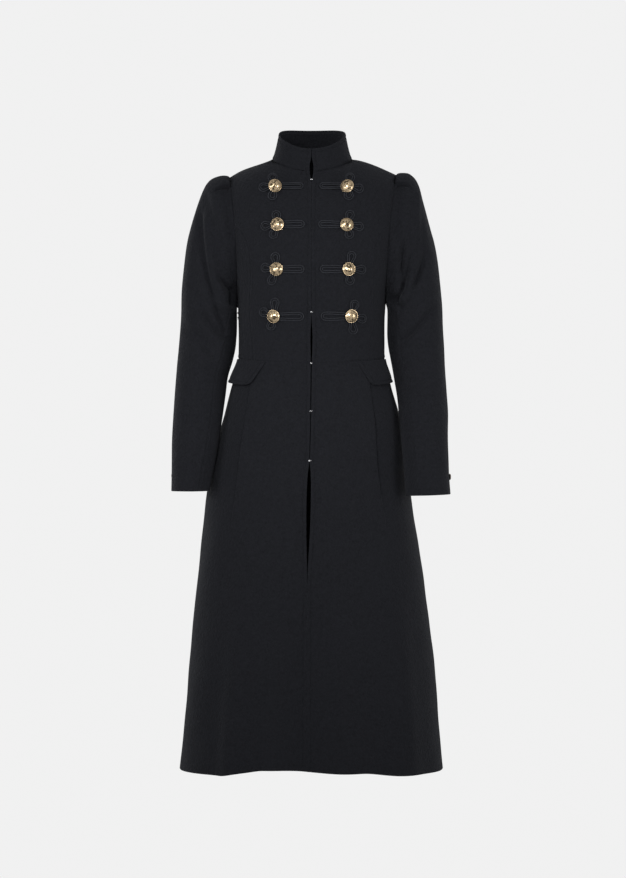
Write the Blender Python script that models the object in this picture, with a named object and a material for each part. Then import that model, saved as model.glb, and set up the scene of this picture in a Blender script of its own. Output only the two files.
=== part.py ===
import math

import bpy
import numpy as np
from mathutils import Vector
from mathutils.bvhtree import BVHTree

# Long fitted coat, hollow as worn. Metres, +Z up, front towards -Y.
# The origin is at the base of the neck, in the plane between front and back.
# Side -1 is the viewer's left (the wearer's right), side 1 the viewer's right.

# Driving sizes
WALL = 0.0025
COLLAR_SHIFT = 0.0014
COLLAR_WALL = 0.003
SEAM_GAP = 0.0007
CHEST_Z = -0.310
WAIST_SIDE_Z = -0.387
WAIST_DROP = 0.0125
HEM_Z = -1.2065
SQUARE = 2.3
BUTTON_RADIUS = 0.0135
CORD_WIDTH = 0.0058
CORD_HEIGHT = 0.0019
SIDES = (-1, 1)
SIDE_NAME = {-1: "left", 1: "right"}

# Cloth and trim colours, with roughness and metal
CLOTH = ((0.016, 0.018, 0.024), 0.9, 0.0)
CORD = ((0.010, 0.010, 0.013), 0.7, 0.0)
GOLD = ((0.80, 0.58, 0.27), 0.22, 1.0)
BRONZE = ((0.12, 0.09, 0.07), 0.35, 0.8)
STEEL = ((0.72, 0.72, 0.74), 0.25, 1.0)


def table(names, rows):
    columns = names.split()
    return {name: np.array([row[i] for row in rows], float) for i, name in enumerate(columns)}


def bend(keys, values):
    """Slopes at the rows that never let the curve overshoot them."""
    steps = np.diff(values) / np.diff(keys)
    slopes = np.concatenate([steps[:1], (steps[:-1] + steps[1:]) / 2, steps[-1:]])
    for i in range(1, len(steps)):
        if steps[i - 1] * steps[i] <= 0:
            slopes[i] = 0.0
        else:
            least = min(abs(steps[i - 1]), abs(steps[i]))
            slopes[i] = math.copysign(min(abs(slopes[i]), 3 * least), slopes[i])
    return slopes


def read(rows, key, name, x):
    """Value of one column of a table at x, as a smooth curve through its rows."""
    keys, values = rows[key], rows[name]
    slopes = rows.setdefault("slope " + name, bend(keys, values))
    x = min(max(x, keys[0]), keys[-1])
    i = int(min(max(np.searchsorted(keys, x) - 1, 0), len(keys) - 2))
    h = keys[i + 1] - keys[i]
    t = (x - keys[i]) / h
    a = (2 * t**3 - 3 * t**2 + 1) * values[i] + (t**3 - 2 * t**2 + t) * h * slopes[i]
    b = (3 * t**2 - 2 * t**3) * values[i + 1] + (t**3 - t**2) * h * slopes[i + 1]
    return float(a + b)


# Sections of the trunk and skirt, a row per level: half widths and depths
BODY = table(
    "z left right front back",
    [
        (-1.210, 0.2630, 0.2624, 0.165, 0.170),
        (-1.150, 0.2562, 0.2566, 0.162, 0.166),
        (-1.030, 0.2460, 0.2474, 0.157, 0.158),
        (-0.910, 0.2354, 0.2342, 0.152, 0.149),
        (-0.790, 0.2230, 0.2180, 0.146, 0.139),
        (-0.650, 0.2070, 0.1965, 0.138, 0.127),
        (-0.550, 0.1880, 0.1840, 0.130, 0.117),
        (-0.490, 0.1704, 0.1720, 0.124, 0.109),
        (-0.450, 0.1598, 0.1596, 0.118, 0.101),
        (-0.420, 0.1520, 0.1520, 0.113, 0.093),
        (-0.387, 0.1450, 0.1450, 0.108, 0.086),
        (-0.350, 0.1450, 0.1448, 0.112, 0.090),
        (-0.310, 0.1457, 0.1455, 0.119, 0.098),
        (-0.250, 0.1480, 0.1480, 0.128, 0.106),
    ],
)

# Sleeve sections, a row per ring: outer and inner ends of the ring in x and z, centre and depths in y
SLEEVE = {
    -1: table(
        "v ox oz ix iz y front back",
        [
            (0, 0.1630, -0.0250, 0.1482, -0.250, 0.000, 0.066, 0.064),
            (1, 0.1740, -0.0215, 0.1490, -0.253, 0.000, 0.068, 0.066),
            (2, 0.1870, -0.0235, 0.1491, -0.256, 0.000, 0.069, 0.067),
            (3, 0.2000, -0.0290, 0.1491, -0.259, 0.000, 0.069, 0.068),
            (4, 0.2095, -0.0385, 0.1491, -0.262, 0.000, 0.069, 0.068),
            (5, 0.2170, -0.0520, 0.1491, -0.266, 0.001, 0.068, 0.068),
            (6, 0.2245, -0.0710, 0.1490, -0.271, 0.001, 0.067, 0.067),
            (7, 0.2320, -0.0930, 0.1488, -0.277, 0.002, 0.066, 0.067),
            (8, 0.2400, -0.1200, 0.1487, -0.285, 0.003, 0.065, 0.066),
            (9, 0.2480, -0.1530, 0.1486, -0.296, 0.004, 0.064, 0.065),
            (10, 0.2540, -0.1920, 0.1485, -0.311, 0.005, 0.063, 0.064),
            (11, 0.2585, -0.2320, 0.1486, -0.328, 0.006, 0.062, 0.063),
            (12, 0.2612, -0.2750, 0.1495, -0.345, 0.006, 0.061, 0.062),
            (13, 0.2628, -0.3180, 0.1520, -0.368, 0.006, 0.060, 0.061),
            (14, 0.2650, -0.3620, 0.1580, -0.393, 0.003, 0.058, 0.060),
            (15, 0.2690, -0.4050, 0.1675, -0.424, -0.004, 0.056, 0.057),
            (16, 0.2720, -0.4500, 0.1715, -0.460, -0.018, 0.053, 0.054),
            (17, 0.2750, -0.5050, 0.1765, -0.508, -0.036, 0.050, 0.051),
            (18, 0.2770, -0.5600, 0.1850, -0.561, -0.052, 0.048, 0.048),
            (19, 0.2773, -0.6100, 0.1940, -0.610, -0.060, 0.046, 0.046),
            (20, 0.2770, -0.6510, 0.2015, -0.651, -0.066, 0.045, 0.045),
        ],
    ),
    1: table(
        "v ox oz ix iz y front back",
        [
            (0, 0.1690, -0.0200, 0.1482, -0.250, 0.000, 0.066, 0.064),
            (1, 0.1800, -0.0160, 0.1495, -0.253, 0.000, 0.068, 0.066),
            (2, 0.1920, -0.0165, 0.1500, -0.256, 0.000, 0.069, 0.067),
            (3, 0.2020, -0.0220, 0.1505, -0.259, 0.000, 0.069, 0.068),
            (4, 0.2100, -0.0310, 0.1510, -0.262, 0.000, 0.069, 0.068),
            (5, 0.2165, -0.0460, 0.1514, -0.266, 0.001, 0.068, 0.068),
            (6, 0.2222, -0.0690, 0.1516, -0.271, 0.001, 0.067, 0.067),
            (7, 0.2292, -0.0950, 0.1516, -0.277, 0.002, 0.066, 0.067),
            (8, 0.2384, -0.1300, 0.1516, -0.285, 0.003, 0.065, 0.066),
            (9, 0.2465, -0.1580, 0.1516, -0.296, 0.004, 0.064, 0.065),
            (10, 0.2532, -0.1920, 0.1516, -0.311, 0.005, 0.063, 0.064),
            (11, 0.2578, -0.2320, 0.1516, -0.328, 0.006, 0.062, 0.063),
            (12, 0.2612, -0.2750, 0.1520, -0.345, 0.006, 0.061, 0.062),
            (13, 0.2625, -0.3180, 0.1545, -0.368, 0.006, 0.060, 0.061),
            (14, 0.2650, -0.3620, 0.1592, -0.393, 0.003, 0.058, 0.060),
            (15, 0.2668, -0.4050, 0.1655, -0.426, -0.006, 0.056, 0.057),
            (16, 0.2690, -0.4500, 0.1702, -0.462, -0.022, 0.053, 0.054),
            (17, 0.2712, -0.5050, 0.1735, -0.510, -0.045, 0.050, 0.051),
            (18, 0.2708, -0.5600, 0.1780, -0.562, -0.064, 0.048, 0.048),
            (19, 0.2708, -0.6100, 0.1822, -0.612, -0.075, 0.046, 0.046),
            (20, 0.2736, -0.6570, 0.1862, -0.660, -0.083, 0.045, 0.045),
        ],
    ),
}
LAST_RING = 20

# Where the princess seam and, below the waist, the fold under the flap stand, by level
FOLD_X = {
    -1: table(
        "z x",
        [
            (-0.700, 0.1560),
            (-0.650, 0.1480),
            (-0.575, 0.1395),
            (-0.505, 0.1285),
            (-0.442, 0.1185),
            (-0.387, 0.1110),
        ],
    ),
    1: table(
        "z x",
        [
            (-0.700, 0.1440),
            (-0.610, 0.1300),
            (-0.510, 0.1225),
            (-0.450, 0.1150),
            (-0.387, 0.1110),
        ],
    ),
}
SEAM_X = table("z x", [(-0.387, 0.1140), (-0.350, 0.1170), (-0.310, 0.1205), (-0.250, 0.1240)])
FOLD_HEIGHT = table(
    "z h",
    [
        (-0.730, 0.000),
        (-0.660, 0.002),
        (-0.580, 0.005),
        (-0.465, 0.004),
        (-0.430, 0.000),
        (-0.387, 0.000),
    ],
)

# Flutes of the skirt: direction in degrees from the front, height, width in degrees, level where it starts
FLUTES = table(
    "angle height width start",
    [
        (-47, 0.017, 7, -0.74),
        (-28, 0.005, 7, -0.80),
        (0, -0.022, 17, -0.62),
        (26, 0.004, 8, -0.80),
        (54, 0.016, 9, -0.66),
        (-140, 0.020, 13, -0.60),
        (140, 0.020, 13, -0.60),
        (180, -0.010, 18, -0.60),
    ],
)

# How far the hem rides up, by direction in degrees from the front
HEM_LIFT = table(
    "angle lift",
    [
        (-180, 0.000),
        (-52, 0.000),
        (-40, 0.007),
        (-30, 0.012),
        (-12, 0.011),
        (6, 0.007),
        (22, 0.005),
        (35, 0.006),
        (54, 0.000),
        (180, 0.000),
    ],
)

# Centre front edges by level: sideways shift of the line and half of the gap
FRONT_EDGE = table(
    "z shift half",
    [
        (-1.210, -0.0098, 0.0005),
        (-0.860, -0.0085, 0.0006),
        (-0.800, -0.0078, 0.0012),
        (-0.740, -0.0068, 0.0036),
        (-0.670, -0.0055, 0.0046),
        (-0.620, -0.0044, 0.0035),
        (-0.590, -0.0036, 0.0010),
        (-0.500, -0.0016, 0.0012),
        (-0.400, -0.0004, 0.0014),
        (-0.350, 0.0000, 0.0024),
        (-0.300, 0.0000, 0.0006),
        (-0.050, 0.0000, 0.0005),
        (-0.036, 0.0000, 0.0010),
        (-0.024, 0.0000, 0.0036),
        (-0.008, 0.0000, 0.0038),
        (0.004, 0.0000, 0.0016),
        (0.012, 0.0000, 0.0006),
        (0.030, 0.0000, 0.0005),
    ],
)


def radius(z, angle, out=0.0):
    """Distance of the trunk's surface from its axis, in one direction at one level."""
    s, c = math.sin(angle), math.cos(angle)
    wide = read(BODY, "z", "right" if s > 0 else "left", z) + out
    deep = read(BODY, "z", "front" if c > 0 else "back", z) + out
    return ((abs(s) / wide) ** SQUARE + (abs(c) / deep) ** SQUARE) ** (-1 / SQUARE)


def angle_at(z, side, x):
    """Direction from the front at which the trunk is x wide."""
    wide = read(BODY, "z", "right" if side > 0 else "left", z)
    deep = read(BODY, "z", "front", z)
    return math.atan2(x, deep * (1 - (x / wide) ** SQUARE) ** (1 / SQUARE))


def waist_z(angle):
    return WAIST_SIDE_Z - WAIST_DROP * max(0.0, math.cos(angle)) ** 1.4


def hem_z(side, angle):
    """Level of the hem, which rides up a little between the front flutes."""
    return HEM_Z + read(HEM_LIFT, "angle", "lift", side * math.degrees(angle))


def gauss(x, width):
    return math.exp(-((x / width) ** 2))


def neck(angle):
    """Base of the collar, by direction from the front."""
    c = math.cos(angle)
    z = 0.00575 - 0.0205 * c - 0.00425 * math.cos(2 * angle)
    s = math.sin(angle)
    return np.array([0.0795 * s + COLLAR_SHIFT * s * s, -0.070 * c - 0.008, z])


def collar_top(angle):
    c = math.cos(angle)
    z = 0.05625 - 0.0235 * c - 0.00575 * math.cos(2 * angle)
    s = math.sin(angle)
    return np.array([0.0668 * s + COLLAR_SHIFT * s * s, -0.0595 * c - 0.006, z])


# Creases of each sleeve: ring and direction at both ends, height (below zero a trough), width in metres
CREASES = {
    -1: table(
        "v0 a0 v1 a1 height width",
        [
            (5.0, 30, 11.0, 62, -0.0045, 0.016),
            (11.0, 62, 14.5, 112, -0.0050, 0.019),
            (12.5, 20, 15.0, 60, -0.0020, 0.020),
        ],
    ),
    1: table(
        "v0 a0 v1 a1 height width",
        [
            (5.0, 28, 8.5, 44, 0.0030, 0.015),
            (5.5, 48, 9.5, 70, -0.0030, 0.016),
            (10.0, 84, 13.0, 118, -0.0048, 0.018),
        ],
    ),
}
# The tuck across the sleeve head: directions in degrees, heights and how far it reaches, in rings
TUCK_ANGLE = 38.0
TUCK_RISE = 0.0060
TUCK_FALL = -0.0035
TUCK_REACH = 3.4
ARMHOLE_BOW = 0.0050


def sleeve_ring(side, angle, v):
    """A point of the plain sleeve. Angle 0 is its outer line, 90 degrees its front, 180 its inner line."""
    rows = SLEEVE[side]
    ox, oz, ix, iz = (read(rows, "v", name, v) for name in ("ox", "oz", "ix", "iz"))
    depth = read(rows, "v", "front" if math.sin(angle) > 0 else "back", v)
    c, s = math.cos(angle), math.sin(angle)
    bow = ARMHOLE_BOW * s * s * max(0.0, 1 - v / 5)
    x = (ox + ix) / 2 + (ox - ix) / 2 * c - bow
    z = (oz + iz) / 2 + (oz - iz) / 2 * c
    return np.array([side * x, read(rows, "v", "y", v) - depth * s, z])


def tuck(angle, v):
    """Height of the fold across the sleeve head, above its lower edge and below it."""
    degrees = math.degrees(angle)
    off = abs(degrees) - TUCK_ANGLE
    reach = max(0.0, 1 - (v / TUCK_REACH) ** 2)
    if off <= 0:
        return TUCK_RISE * gauss(off, 16.0) * reach
    return TUCK_FALL * gauss(off, 14.0) * reach


def crease(side, angle, v):
    rows = CREASES[side]
    place = np.array([v, math.degrees(angle)])
    scale = np.array([0.028, 0.0010])
    total = 0.0
    for i in range(len(rows["v0"])):
        a = np.array([rows["v0"][i], rows["a0"][i]]) * scale
        b = np.array([rows["v1"][i], rows["a1"][i]]) * scale
        along = np.clip(np.dot(place * scale - a, b - a) / np.dot(b - a, b - a), 0, 1)
        off = np.linalg.norm(place * scale - a - along * (b - a))
        fade = 0.35 + 0.65 * math.sin(math.pi * (0.15 + 0.7 * along))
        total += rows["height"][i] * fade * gauss(off, rows["width"][i])
    return total


def sleeve_hind(side, v):
    """Direction of the hind seam of the sleeve, behind its outer line."""
    end = 20.0 if side > 0 else 34.0
    t = min(max((v - 10) / 10, 0.0), 1.0)
    return math.radians(-62 + (62 - end) * t * t * (3 - 2 * t))


def sleeve_fore(v):
    return math.radians(142 - 24 * min(max((v - 4) / 16, 0.0), 1.0))


def sleeve_angle(side, s, v):
    """Pieces by s: 0 to 1 the upper sleeve from hind to fore seam, 1 to 2 the under sleeve."""
    hind, fore = sleeve_hind(side, v), sleeve_fore(v)
    if s < 0:
        s += 2
    if s <= 1:
        return hind + (fore - hind) * s
    return fore + (hind + 2 * math.pi - fore) * (s - 1)


def sleeve_plain(side):
    def surface(s, v):
        return sleeve_ring(side, sleeve_angle(side, s % 2, v), v)

    return surface


def sleeve_height(side):
    def height(s, v):
        angle = sleeve_angle(side, s % 2, v)
        wrapped = (angle + math.pi) % (2 * math.pi) - math.pi
        return tuck(wrapped, v) + crease(side, angle % (2 * math.pi), v)

    return height


def trunk_angle(side, s, z, middle):
    """Direction for s: 0 centre front, 1 front seam or fold, 2 side, 3 back seam, 4 centre back."""
    if s <= 1:
        return middle * s
    if s <= 2:
        return middle + (math.pi / 2 - middle) * (s - 1)
    if s <= 3:
        return math.pi / 2 + math.radians(34) * (s - 2)
    return math.radians(124) + math.radians(56) * (s - 3)


def open_front(side, point, s):
    """Moves the columns by the centre front line apart, and sideways with the line."""
    if s < 0.5:
        fade = 1 - s / 0.5
        shift = read(FRONT_EDGE, "z", "shift", point[2])
        half = read(FRONT_EDGE, "z", "half", point[2])
        point[0] += fade * (shift + side * half)
    return point


def trunk_point(side, angle, z, out=0.0):
    r = radius(z, side * angle) + out
    return np.array([side * r * math.sin(angle), -r * math.cos(angle), z])


# Corners of the centre panels, as the share of their width where they reach the shoulder line
NECK_END = 0.36
TIP_START = 0.78
ARMHOLE_SEAM = math.radians(84)
# How far each shoulder rounds up above its straight line, and where along it (1 is the middle)
SHOULDER_RISE = {-1: 0.0038, 1: 0.0044}
SHOULDER_PEAK = {-1: 1.8, 1: 0.75}


def bodice_top(side, s):
    """Upper edge of the bodice and the direction in which the cloth arrives there."""
    back = s > 2
    turn = 4 - s if back else s
    tip = sleeve_ring(side, 0.0, 0)
    if turn <= 1:
        hps = neck(side * math.pi / 2)
        if turn <= NECK_END:
            share = turn / NECK_END
            angle = share * math.pi / 2
            point = neck(side * (math.pi - angle if back else angle))
            lean = np.array([0.10 * side * share, 0.0, 0.95 - 0.65 * share])
        elif turn <= TIP_START:
            share = (turn - NECK_END) / (TIP_START - NECK_END)
            point = hps + (tip - hps) * share
            point[2] += SHOULDER_RISE[side] * math.sin(math.pi * share ** SHOULDER_PEAK[side])
            lean = np.array([(0.10 + 0.10 * share) * side, 0.0, 0.30])
        else:
            share = (turn - TIP_START) / (1 - TIP_START)
            angle = ARMHOLE_SEAM * share
            point = sleeve_ring(side, -angle if back else angle, 0)
            lean = np.array([(0.20 + 0.60 * share) * side, 0.0, 0.30 + 0.20 * share])
    else:
        share = turn - 1
        angle = ARMHOLE_SEAM + (math.pi - ARMHOLE_SEAM) * share
        point = sleeve_ring(side, -angle if back else angle, 0)
        lean = np.array([0.8 * side * (1 - share) ** 2, 0.0, 0.5 + 0.5 * share])
    return point, lean


# The trunk above the chest, a row per level: half width and depths, before the shoulders round it off
UPPER = table(
    "z wide front back",
    [
        (-0.310, 0.1456, 0.1190, 0.0980),
        (-0.250, 0.1495, 0.1265, 0.1045),
        (-0.200, 0.1590, 0.1280, 0.1080),
        (-0.140, 0.1690, 0.1240, 0.1075),
        (-0.080, 0.1740, 0.1160, 0.1020),
        (-0.040, 0.1760, 0.1090, 0.0950),
        (-0.019, 0.1760, 0.1050, 0.0900),
        (0.010, 0.1760, 0.1000, 0.0850),
        (0.030, 0.1760, 0.0970, 0.0800),
    ],
)
# How far below the shoulder seam, and below the middle of the collar, the cloth reaches its full depth
SHOULDER_ROUND = 0.062
NECK_ROUND = 0.105


def shoulder_line(x):
    """Height of the shoulder at a distance from the middle."""
    return 0.010 - 0.385 * (x - 0.080)


def depth_at(x, z, back):
    """How far the chest or back stands from the middle plane, below the rounding."""
    wide = read(UPPER, "z", "wide", z)
    deep = read(UPPER, "z", "back" if back else "front", z)
    return deep * max(0.0, 1 - (abs(x) / wide) ** SQUARE) ** (1 / SQUARE)


def rounded(drop, power):
    """Share of the full depth at a drop below the upper edge, in lengths of the rounding."""
    return math.copysign(max(0.0, 1 - max(0.0, 1 - abs(drop)) ** 2) ** power, drop)


def stand_out(turn, point, top, back, t):
    """Depth of a bodice point below the edge point of its column, rounded over neck and shoulder."""
    soft = max(0.0, 1 - (turn / NECK_END) ** 2) ** 2
    sign = 1 if back else -1
    full = sign * depth_at(point[0], point[2], back)
    drop = (top[2] - point[2]) / (SHOULDER_ROUND + (NECK_ROUND - SHOULDER_ROUND) * soft)
    near = top[1] + (full - top[1]) * rounded(drop, 0.5 + 0.5 * soft)
    share = min(max((turn - TIP_START) / (1 - TIP_START), 0.0), 1.0)
    if share == 0:
        return near
    edge = sign * depth_at(top[0], top[2], back)
    edge *= rounded((shoulder_line(abs(top[0])) - top[2]) / SHOULDER_ROUND, 0.5)
    far = full * rounded((shoulder_line(abs(point[0])) - point[2]) / SHOULDER_ROUND, 0.5)
    far += (top[1] - edge) * max(t, 0.0) ** 4
    share = share * share * (3 - 2 * share)
    return near + (far - near) * share


def bodice(side):
    """The bodice by s round it and v up it: 0 waist, 1 chest, 2 its upper edge."""

    def low(s, z):
        seam = angle_at(z, side, read(SEAM_X, "z", "x", z))
        return trunk_point(side, trunk_angle(side, s, z, seam), z)

    def surface(s, v):
        s = min(max(s, 0.0), 4.0)
        foot = low(s, WAIST_SIDE_Z)
        start = waist_z(math.atan2(abs(foot[0]), -foot[1]))
        if v <= 1:
            return open_front(side, low(s, start + (CHEST_Z - start) * v), s)
        a = low(s, CHEST_Z)
        b, lean = bodice_top(side, s)
        rise = a - low(s, CHEST_Z - 0.02)
        rise = rise / np.linalg.norm(rise)
        reach = np.linalg.norm(b - a)
        t = v - 1
        point = (2 * t**3 - 3 * t**2 + 1) * a + (3 * t**2 - 2 * t**3) * b
        point = point + (t**3 - 2 * t**2 + t) * reach * rise + (t**3 - t**2) * reach * lean
        back, turn = s > 2, min(s, 4 - s)
        low_error = a[1] - stand_out(turn, a, b, back, 0.0)
        point[1] = stand_out(turn, point, b, back, t) + low_error * max(0.0, 1 - t) ** 3
        return open_front(side, point, s)

    return surface


def skirt_plain(side):
    """The skirt by s round it, as the bodice, and v down it from 0 at the waist to 1 at the hem."""

    def surface(s, v):
        s = min(max(s, 0.0), 4.0)
        fold = angle_at(WAIST_SIDE_Z, side, read(FOLD_X[side], "z", "x", WAIST_SIDE_Z))
        angle = trunk_angle(side, s, WAIST_SIDE_Z, fold)
        z = waist_z(angle) + (hem_z(side, angle) - waist_z(angle)) * v
        fold = angle_at(z, side, read(FOLD_X[side], "z", "x", z)) if z > -0.70 else angle_at(
            -0.70, side, read(FOLD_X[side], "z", "x", -0.70)
        )
        angle = trunk_angle(side, s, z, fold)
        point = trunk_point(side, angle, z)
        r = np.array([side * math.sin(angle), -math.cos(angle), 0.0])
        return open_front(side, point + r * flute(side * angle, z), s)

    return surface


def flute(angle, z):
    total = 0.0
    degrees = math.degrees(angle)
    for i in range(len(FLUTES["angle"])):
        off = (degrees - FLUTES["angle"][i] + 180) % 360 - 180
        start = FLUTES["start"][i]
        ramp = min(max((start - z) / (start - HEM_Z), 0.0), 1.0)
        total += FLUTES["height"][i] * gauss(off, FLUTES["width"][i]) * ramp * ramp * (3 - 2 * ramp)
    return total


def skirt_height(side):
    def height(s, v):
        z = WAIST_SIDE_Z + (HEM_Z - WAIST_SIDE_Z) * v
        if s > 1:
            return 0.0
        return read(FOLD_HEIGHT, "z", "h", z) * gauss(1 - s, 0.20)

    return height


# How far the lower edge of each flap stands out from the skirt, and its upper edge
FLAP_LOW = {-1: 0.0108, 1: 0.0066}
FLAP_TOP = 0.0036


def flap(side):
    """The pocket flap by s along it and v down it, on the skirt and standing off it."""
    first, last = math.radians(44), math.radians(110)

    def surface(s, v):
        curl = 0.05 * max(0.0, (v - 0.8) / 0.2) ** 2 * (max(0.0, 1 - s / 0.12)) ** 2
        angle = first + (last - first) * s + math.radians(8.5) * v * (1 - s) + 4 * curl * math.radians(8)
        z = waist_z(angle) - 0.0008 - (0.0485 - 0.003 * s) * (v - curl)
        off = FLAP_TOP + (FLAP_LOW[side] - FLAP_TOP) * max(v, 0.0) ** 1.3 + 0.0008 * math.sin(math.pi * v)
        return trunk_point(side, angle, z, off)

    return surface


def collar(s, v):
    angle = s * 2 * math.pi
    low, high = neck(angle), collar_top(angle)
    bulge = -0.0010 * math.sin(math.pi * v)
    point = low + (high - low) * v
    point[0] += bulge * math.sin(angle)
    point[1] -= bulge * math.cos(angle)
    half = read(FRONT_EDGE, "z", "half", point[2])
    near = min(s, 1 - s)
    if near < 1 / 24:
        point[0] += half * (1 - near * 24) * (1 if s < 0.5 else -1)
    return point


def level_normal(side, s, v):
    """Straight-on directions where two pieces meet, so that their walls end side by side."""
    turn = min(s, 4 - s)
    if v > 1.999 and NECK_END <= turn <= TIP_START:
        along = sleeve_ring(side, 0.0, 0) - neck(side * math.pi / 2)
        up = np.cross(along, (0.0, side, 0.0))
        return up / np.linalg.norm(up)
    return None


def normal_at(surface, s, v, outward):
    e = 0.004
    across = surface(s + e, v) - surface(s - e, v)
    along = surface(s, v + e) - surface(s, v - e)
    n = np.cross(across, along)
    length = np.linalg.norm(n)
    if length < 1e-12:
        return outward / np.linalg.norm(outward)
    n = n / length
    return n if np.dot(n, outward) > 0 else -n


def material(name, look):
    colour, rough, metal = look
    made = bpy.data.materials.new(name)
    made.use_nodes = True
    shader = made.node_tree.nodes["Principled BSDF"]
    shader.inputs["Base Color"].default_value = (*colour, 1.0)
    shader.inputs["Roughness"].default_value = rough
    shader.inputs["Metallic"].default_value = metal
    made.diffuse_color = (*colour, 1.0)
    return made


def add_object(name, points, faces, look, smooth=True):
    mesh = bpy.data.meshes.new(name)
    mesh.from_pydata([tuple(p) for p in points], [], faces)
    mesh.materials.append(material(name, look))
    if smooth:
        mesh.shade_smooth()
    made = bpy.data.objects.new(name, mesh)
    bpy.context.scene.collection.objects.link(made)
    return made


def pull_in(outer, inner, edges):
    """Moves the named edges of both grids in by half of the seam gap."""
    for edge in edges:
        if edge == "first_row":
            a, b = (0, slice(None)), (1, slice(None))
        elif edge == "last_row":
            a, b = (-1, slice(None)), (-2, slice(None))
        elif edge == "first_column":
            a, b = (slice(None), 0), (slice(None), 1)
        else:
            a, b = (slice(None), -1), (slice(None), -2)
        step = outer[b] - outer[a]
        size = np.linalg.norm(step, axis=1, keepdims=True)
        step = step / np.maximum(size, 1e-9) * np.minimum(SEAM_GAP / 2, size / 3)
        outer[a] += step
        inner[a] += step


def shell_faces(rows, columns, flip):
    """Faces of a closed wall: outer grid, inner grid and the rim between them."""
    count = rows * columns
    faces = []
    for i in range(rows - 1):
        for j in range(columns - 1):
            a, b = i * columns + j, i * columns + j + 1
            c, d = b + columns, a + columns
            faces.append((a, b, c, d))
            faces.append((count + d, count + c, count + b, count + a))
    rim = [j for j in range(columns)]
    rim += [i * columns + columns - 1 for i in range(1, rows)]
    rim += [(rows - 1) * columns + j for j in range(columns - 2, -1, -1)]
    rim += [i * columns for i in range(rows - 2, 0, -1)]
    for i, a in enumerate(rim):
        b = rim[(i + 1) % len(rim)]
        faces.append((b, a, count + a, count + b))
    if flip:
        faces = [tuple(reversed(face)) for face in faces]
    return faces


def panel(name, surface, columns, rows, centre, height=None, wall=WALL, edges=(), fixed=None):
    """A cloth piece as one closed wall, its outside on the surface."""
    outer = np.zeros((len(rows), len(columns), 3))
    inner = np.zeros_like(outer)
    for i, v in enumerate(rows):
        for j, s in enumerate(columns):
            point = surface(s, v)
            n = fixed(s, v) if fixed else None
            if n is None:
                n = normal_at(surface, s, v, point - centre(point))
            if s == 0 and "front" in name:
                n = np.array([0.0, n[1], n[2]]) / np.hypot(n[1], n[2])
            lift = height(s, v) if height else 0.0
            outer[i, j] = point + n * lift
            inner[i, j] = point + n * (lift - wall)
    pull_in(outer, inner, edges)
    mid = outer[len(rows) // 2, len(columns) // 2]
    right = outer[len(rows) // 2, len(columns) // 2 - 1]
    up = outer[len(rows) // 2 - 1, len(columns) // 2]
    facing = np.cross(right - mid, up - mid)
    flip = np.dot(facing, mid - centre(mid)) < 0
    points = np.concatenate([outer.reshape(-1, 3), inner.reshape(-1, 3)])
    return add_object(name, points, shell_faces(len(rows), len(columns), flip), CLOTH)


def spread(*parts):
    """A list of values from (start, end, steps) parts, joined end to end."""
    values = []
    for start, end, steps in parts:
        for k in range(steps):
            values.append(start + (end - start) * k / steps)
    return values + [parts[-1][1]]


def trunk_centre(point):
    return np.array([0.0, 0.0, min(point[2], -0.12)])


def sleeve_centre(side):
    def centre(point):
        rows = SLEEVE[side]
        x = side * (read(rows, "v", "ox", 11) + read(rows, "v", "ix", 11)) / 2
        if point[2] > -0.30:
            return np.array([x * 0.93, 0.0, min(point[2], -0.16)])
        v = min(max((-point[2] - 0.30) / 0.35 * 8 + 12, 12), LAST_RING)
        x = side * (read(rows, "v", "ox", v) + read(rows, "v", "ix", v)) / 2
        return np.array([x, read(rows, "v", "y", v), point[2]])

    return centre


BODICE_ROWS = spread((0, 1, 3), (1, 1.9, 9), (1.9, 2, 2))
SKIRT_ROWS = spread((0, 0.06, 2), (0.06, 0.42, 6), (0.42, 1, 5))
SLEEVE_ROWS = spread((0, 4, 5), (4, 15, 11), (15, LAST_RING, 4))


def build_bodice(side):
    name = SIDE_NAME[side]
    rows = BODICE_ROWS
    centre_columns = spread((0, NECK_END, 6), (NECK_END, TIP_START, 4), (TIP_START, 1, 3))

    def fixed(s, v):
        return level_normal(side, s, v)

    all_edges = ("first_row", "last_row", "first_column", "last_column")
    surface = bodice(side)
    edges = ("first_row", "last_row", "last_column")
    panel("bodice_front_" + name, surface, centre_columns, rows, trunk_centre, edges=edges, fixed=fixed)
    panel("bodice_side_front_" + name, surface, spread((1, 2, 4)), rows, trunk_centre, edges=all_edges)
    panel("bodice_side_back_" + name, surface, spread((2, 3, 4)), rows, trunk_centre, edges=all_edges)


def build_bodice_back():
    half = spread((0, 1 - TIP_START, 3), (1 - TIP_START, 1 - NECK_END, 4), (1 - NECK_END, 1, 6))
    columns = [3 + s for s in half] + [5 - s for s in half[-2::-1]]
    surfaces = {side: bodice(side) for side in SIDES}

    def surface(s, v):
        return surfaces[1](s, v) if s <= 4 else surfaces[-1](8 - s, v)

    def fixed(s, v):
        return level_normal(1, s, v) if s <= 4 else level_normal(-1, 8 - s, v)

    edges = ("first_row", "last_row", "first_column", "last_column")
    panel("bodice_back", surface, columns, BODICE_ROWS, trunk_centre, edges=edges, fixed=fixed)


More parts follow.
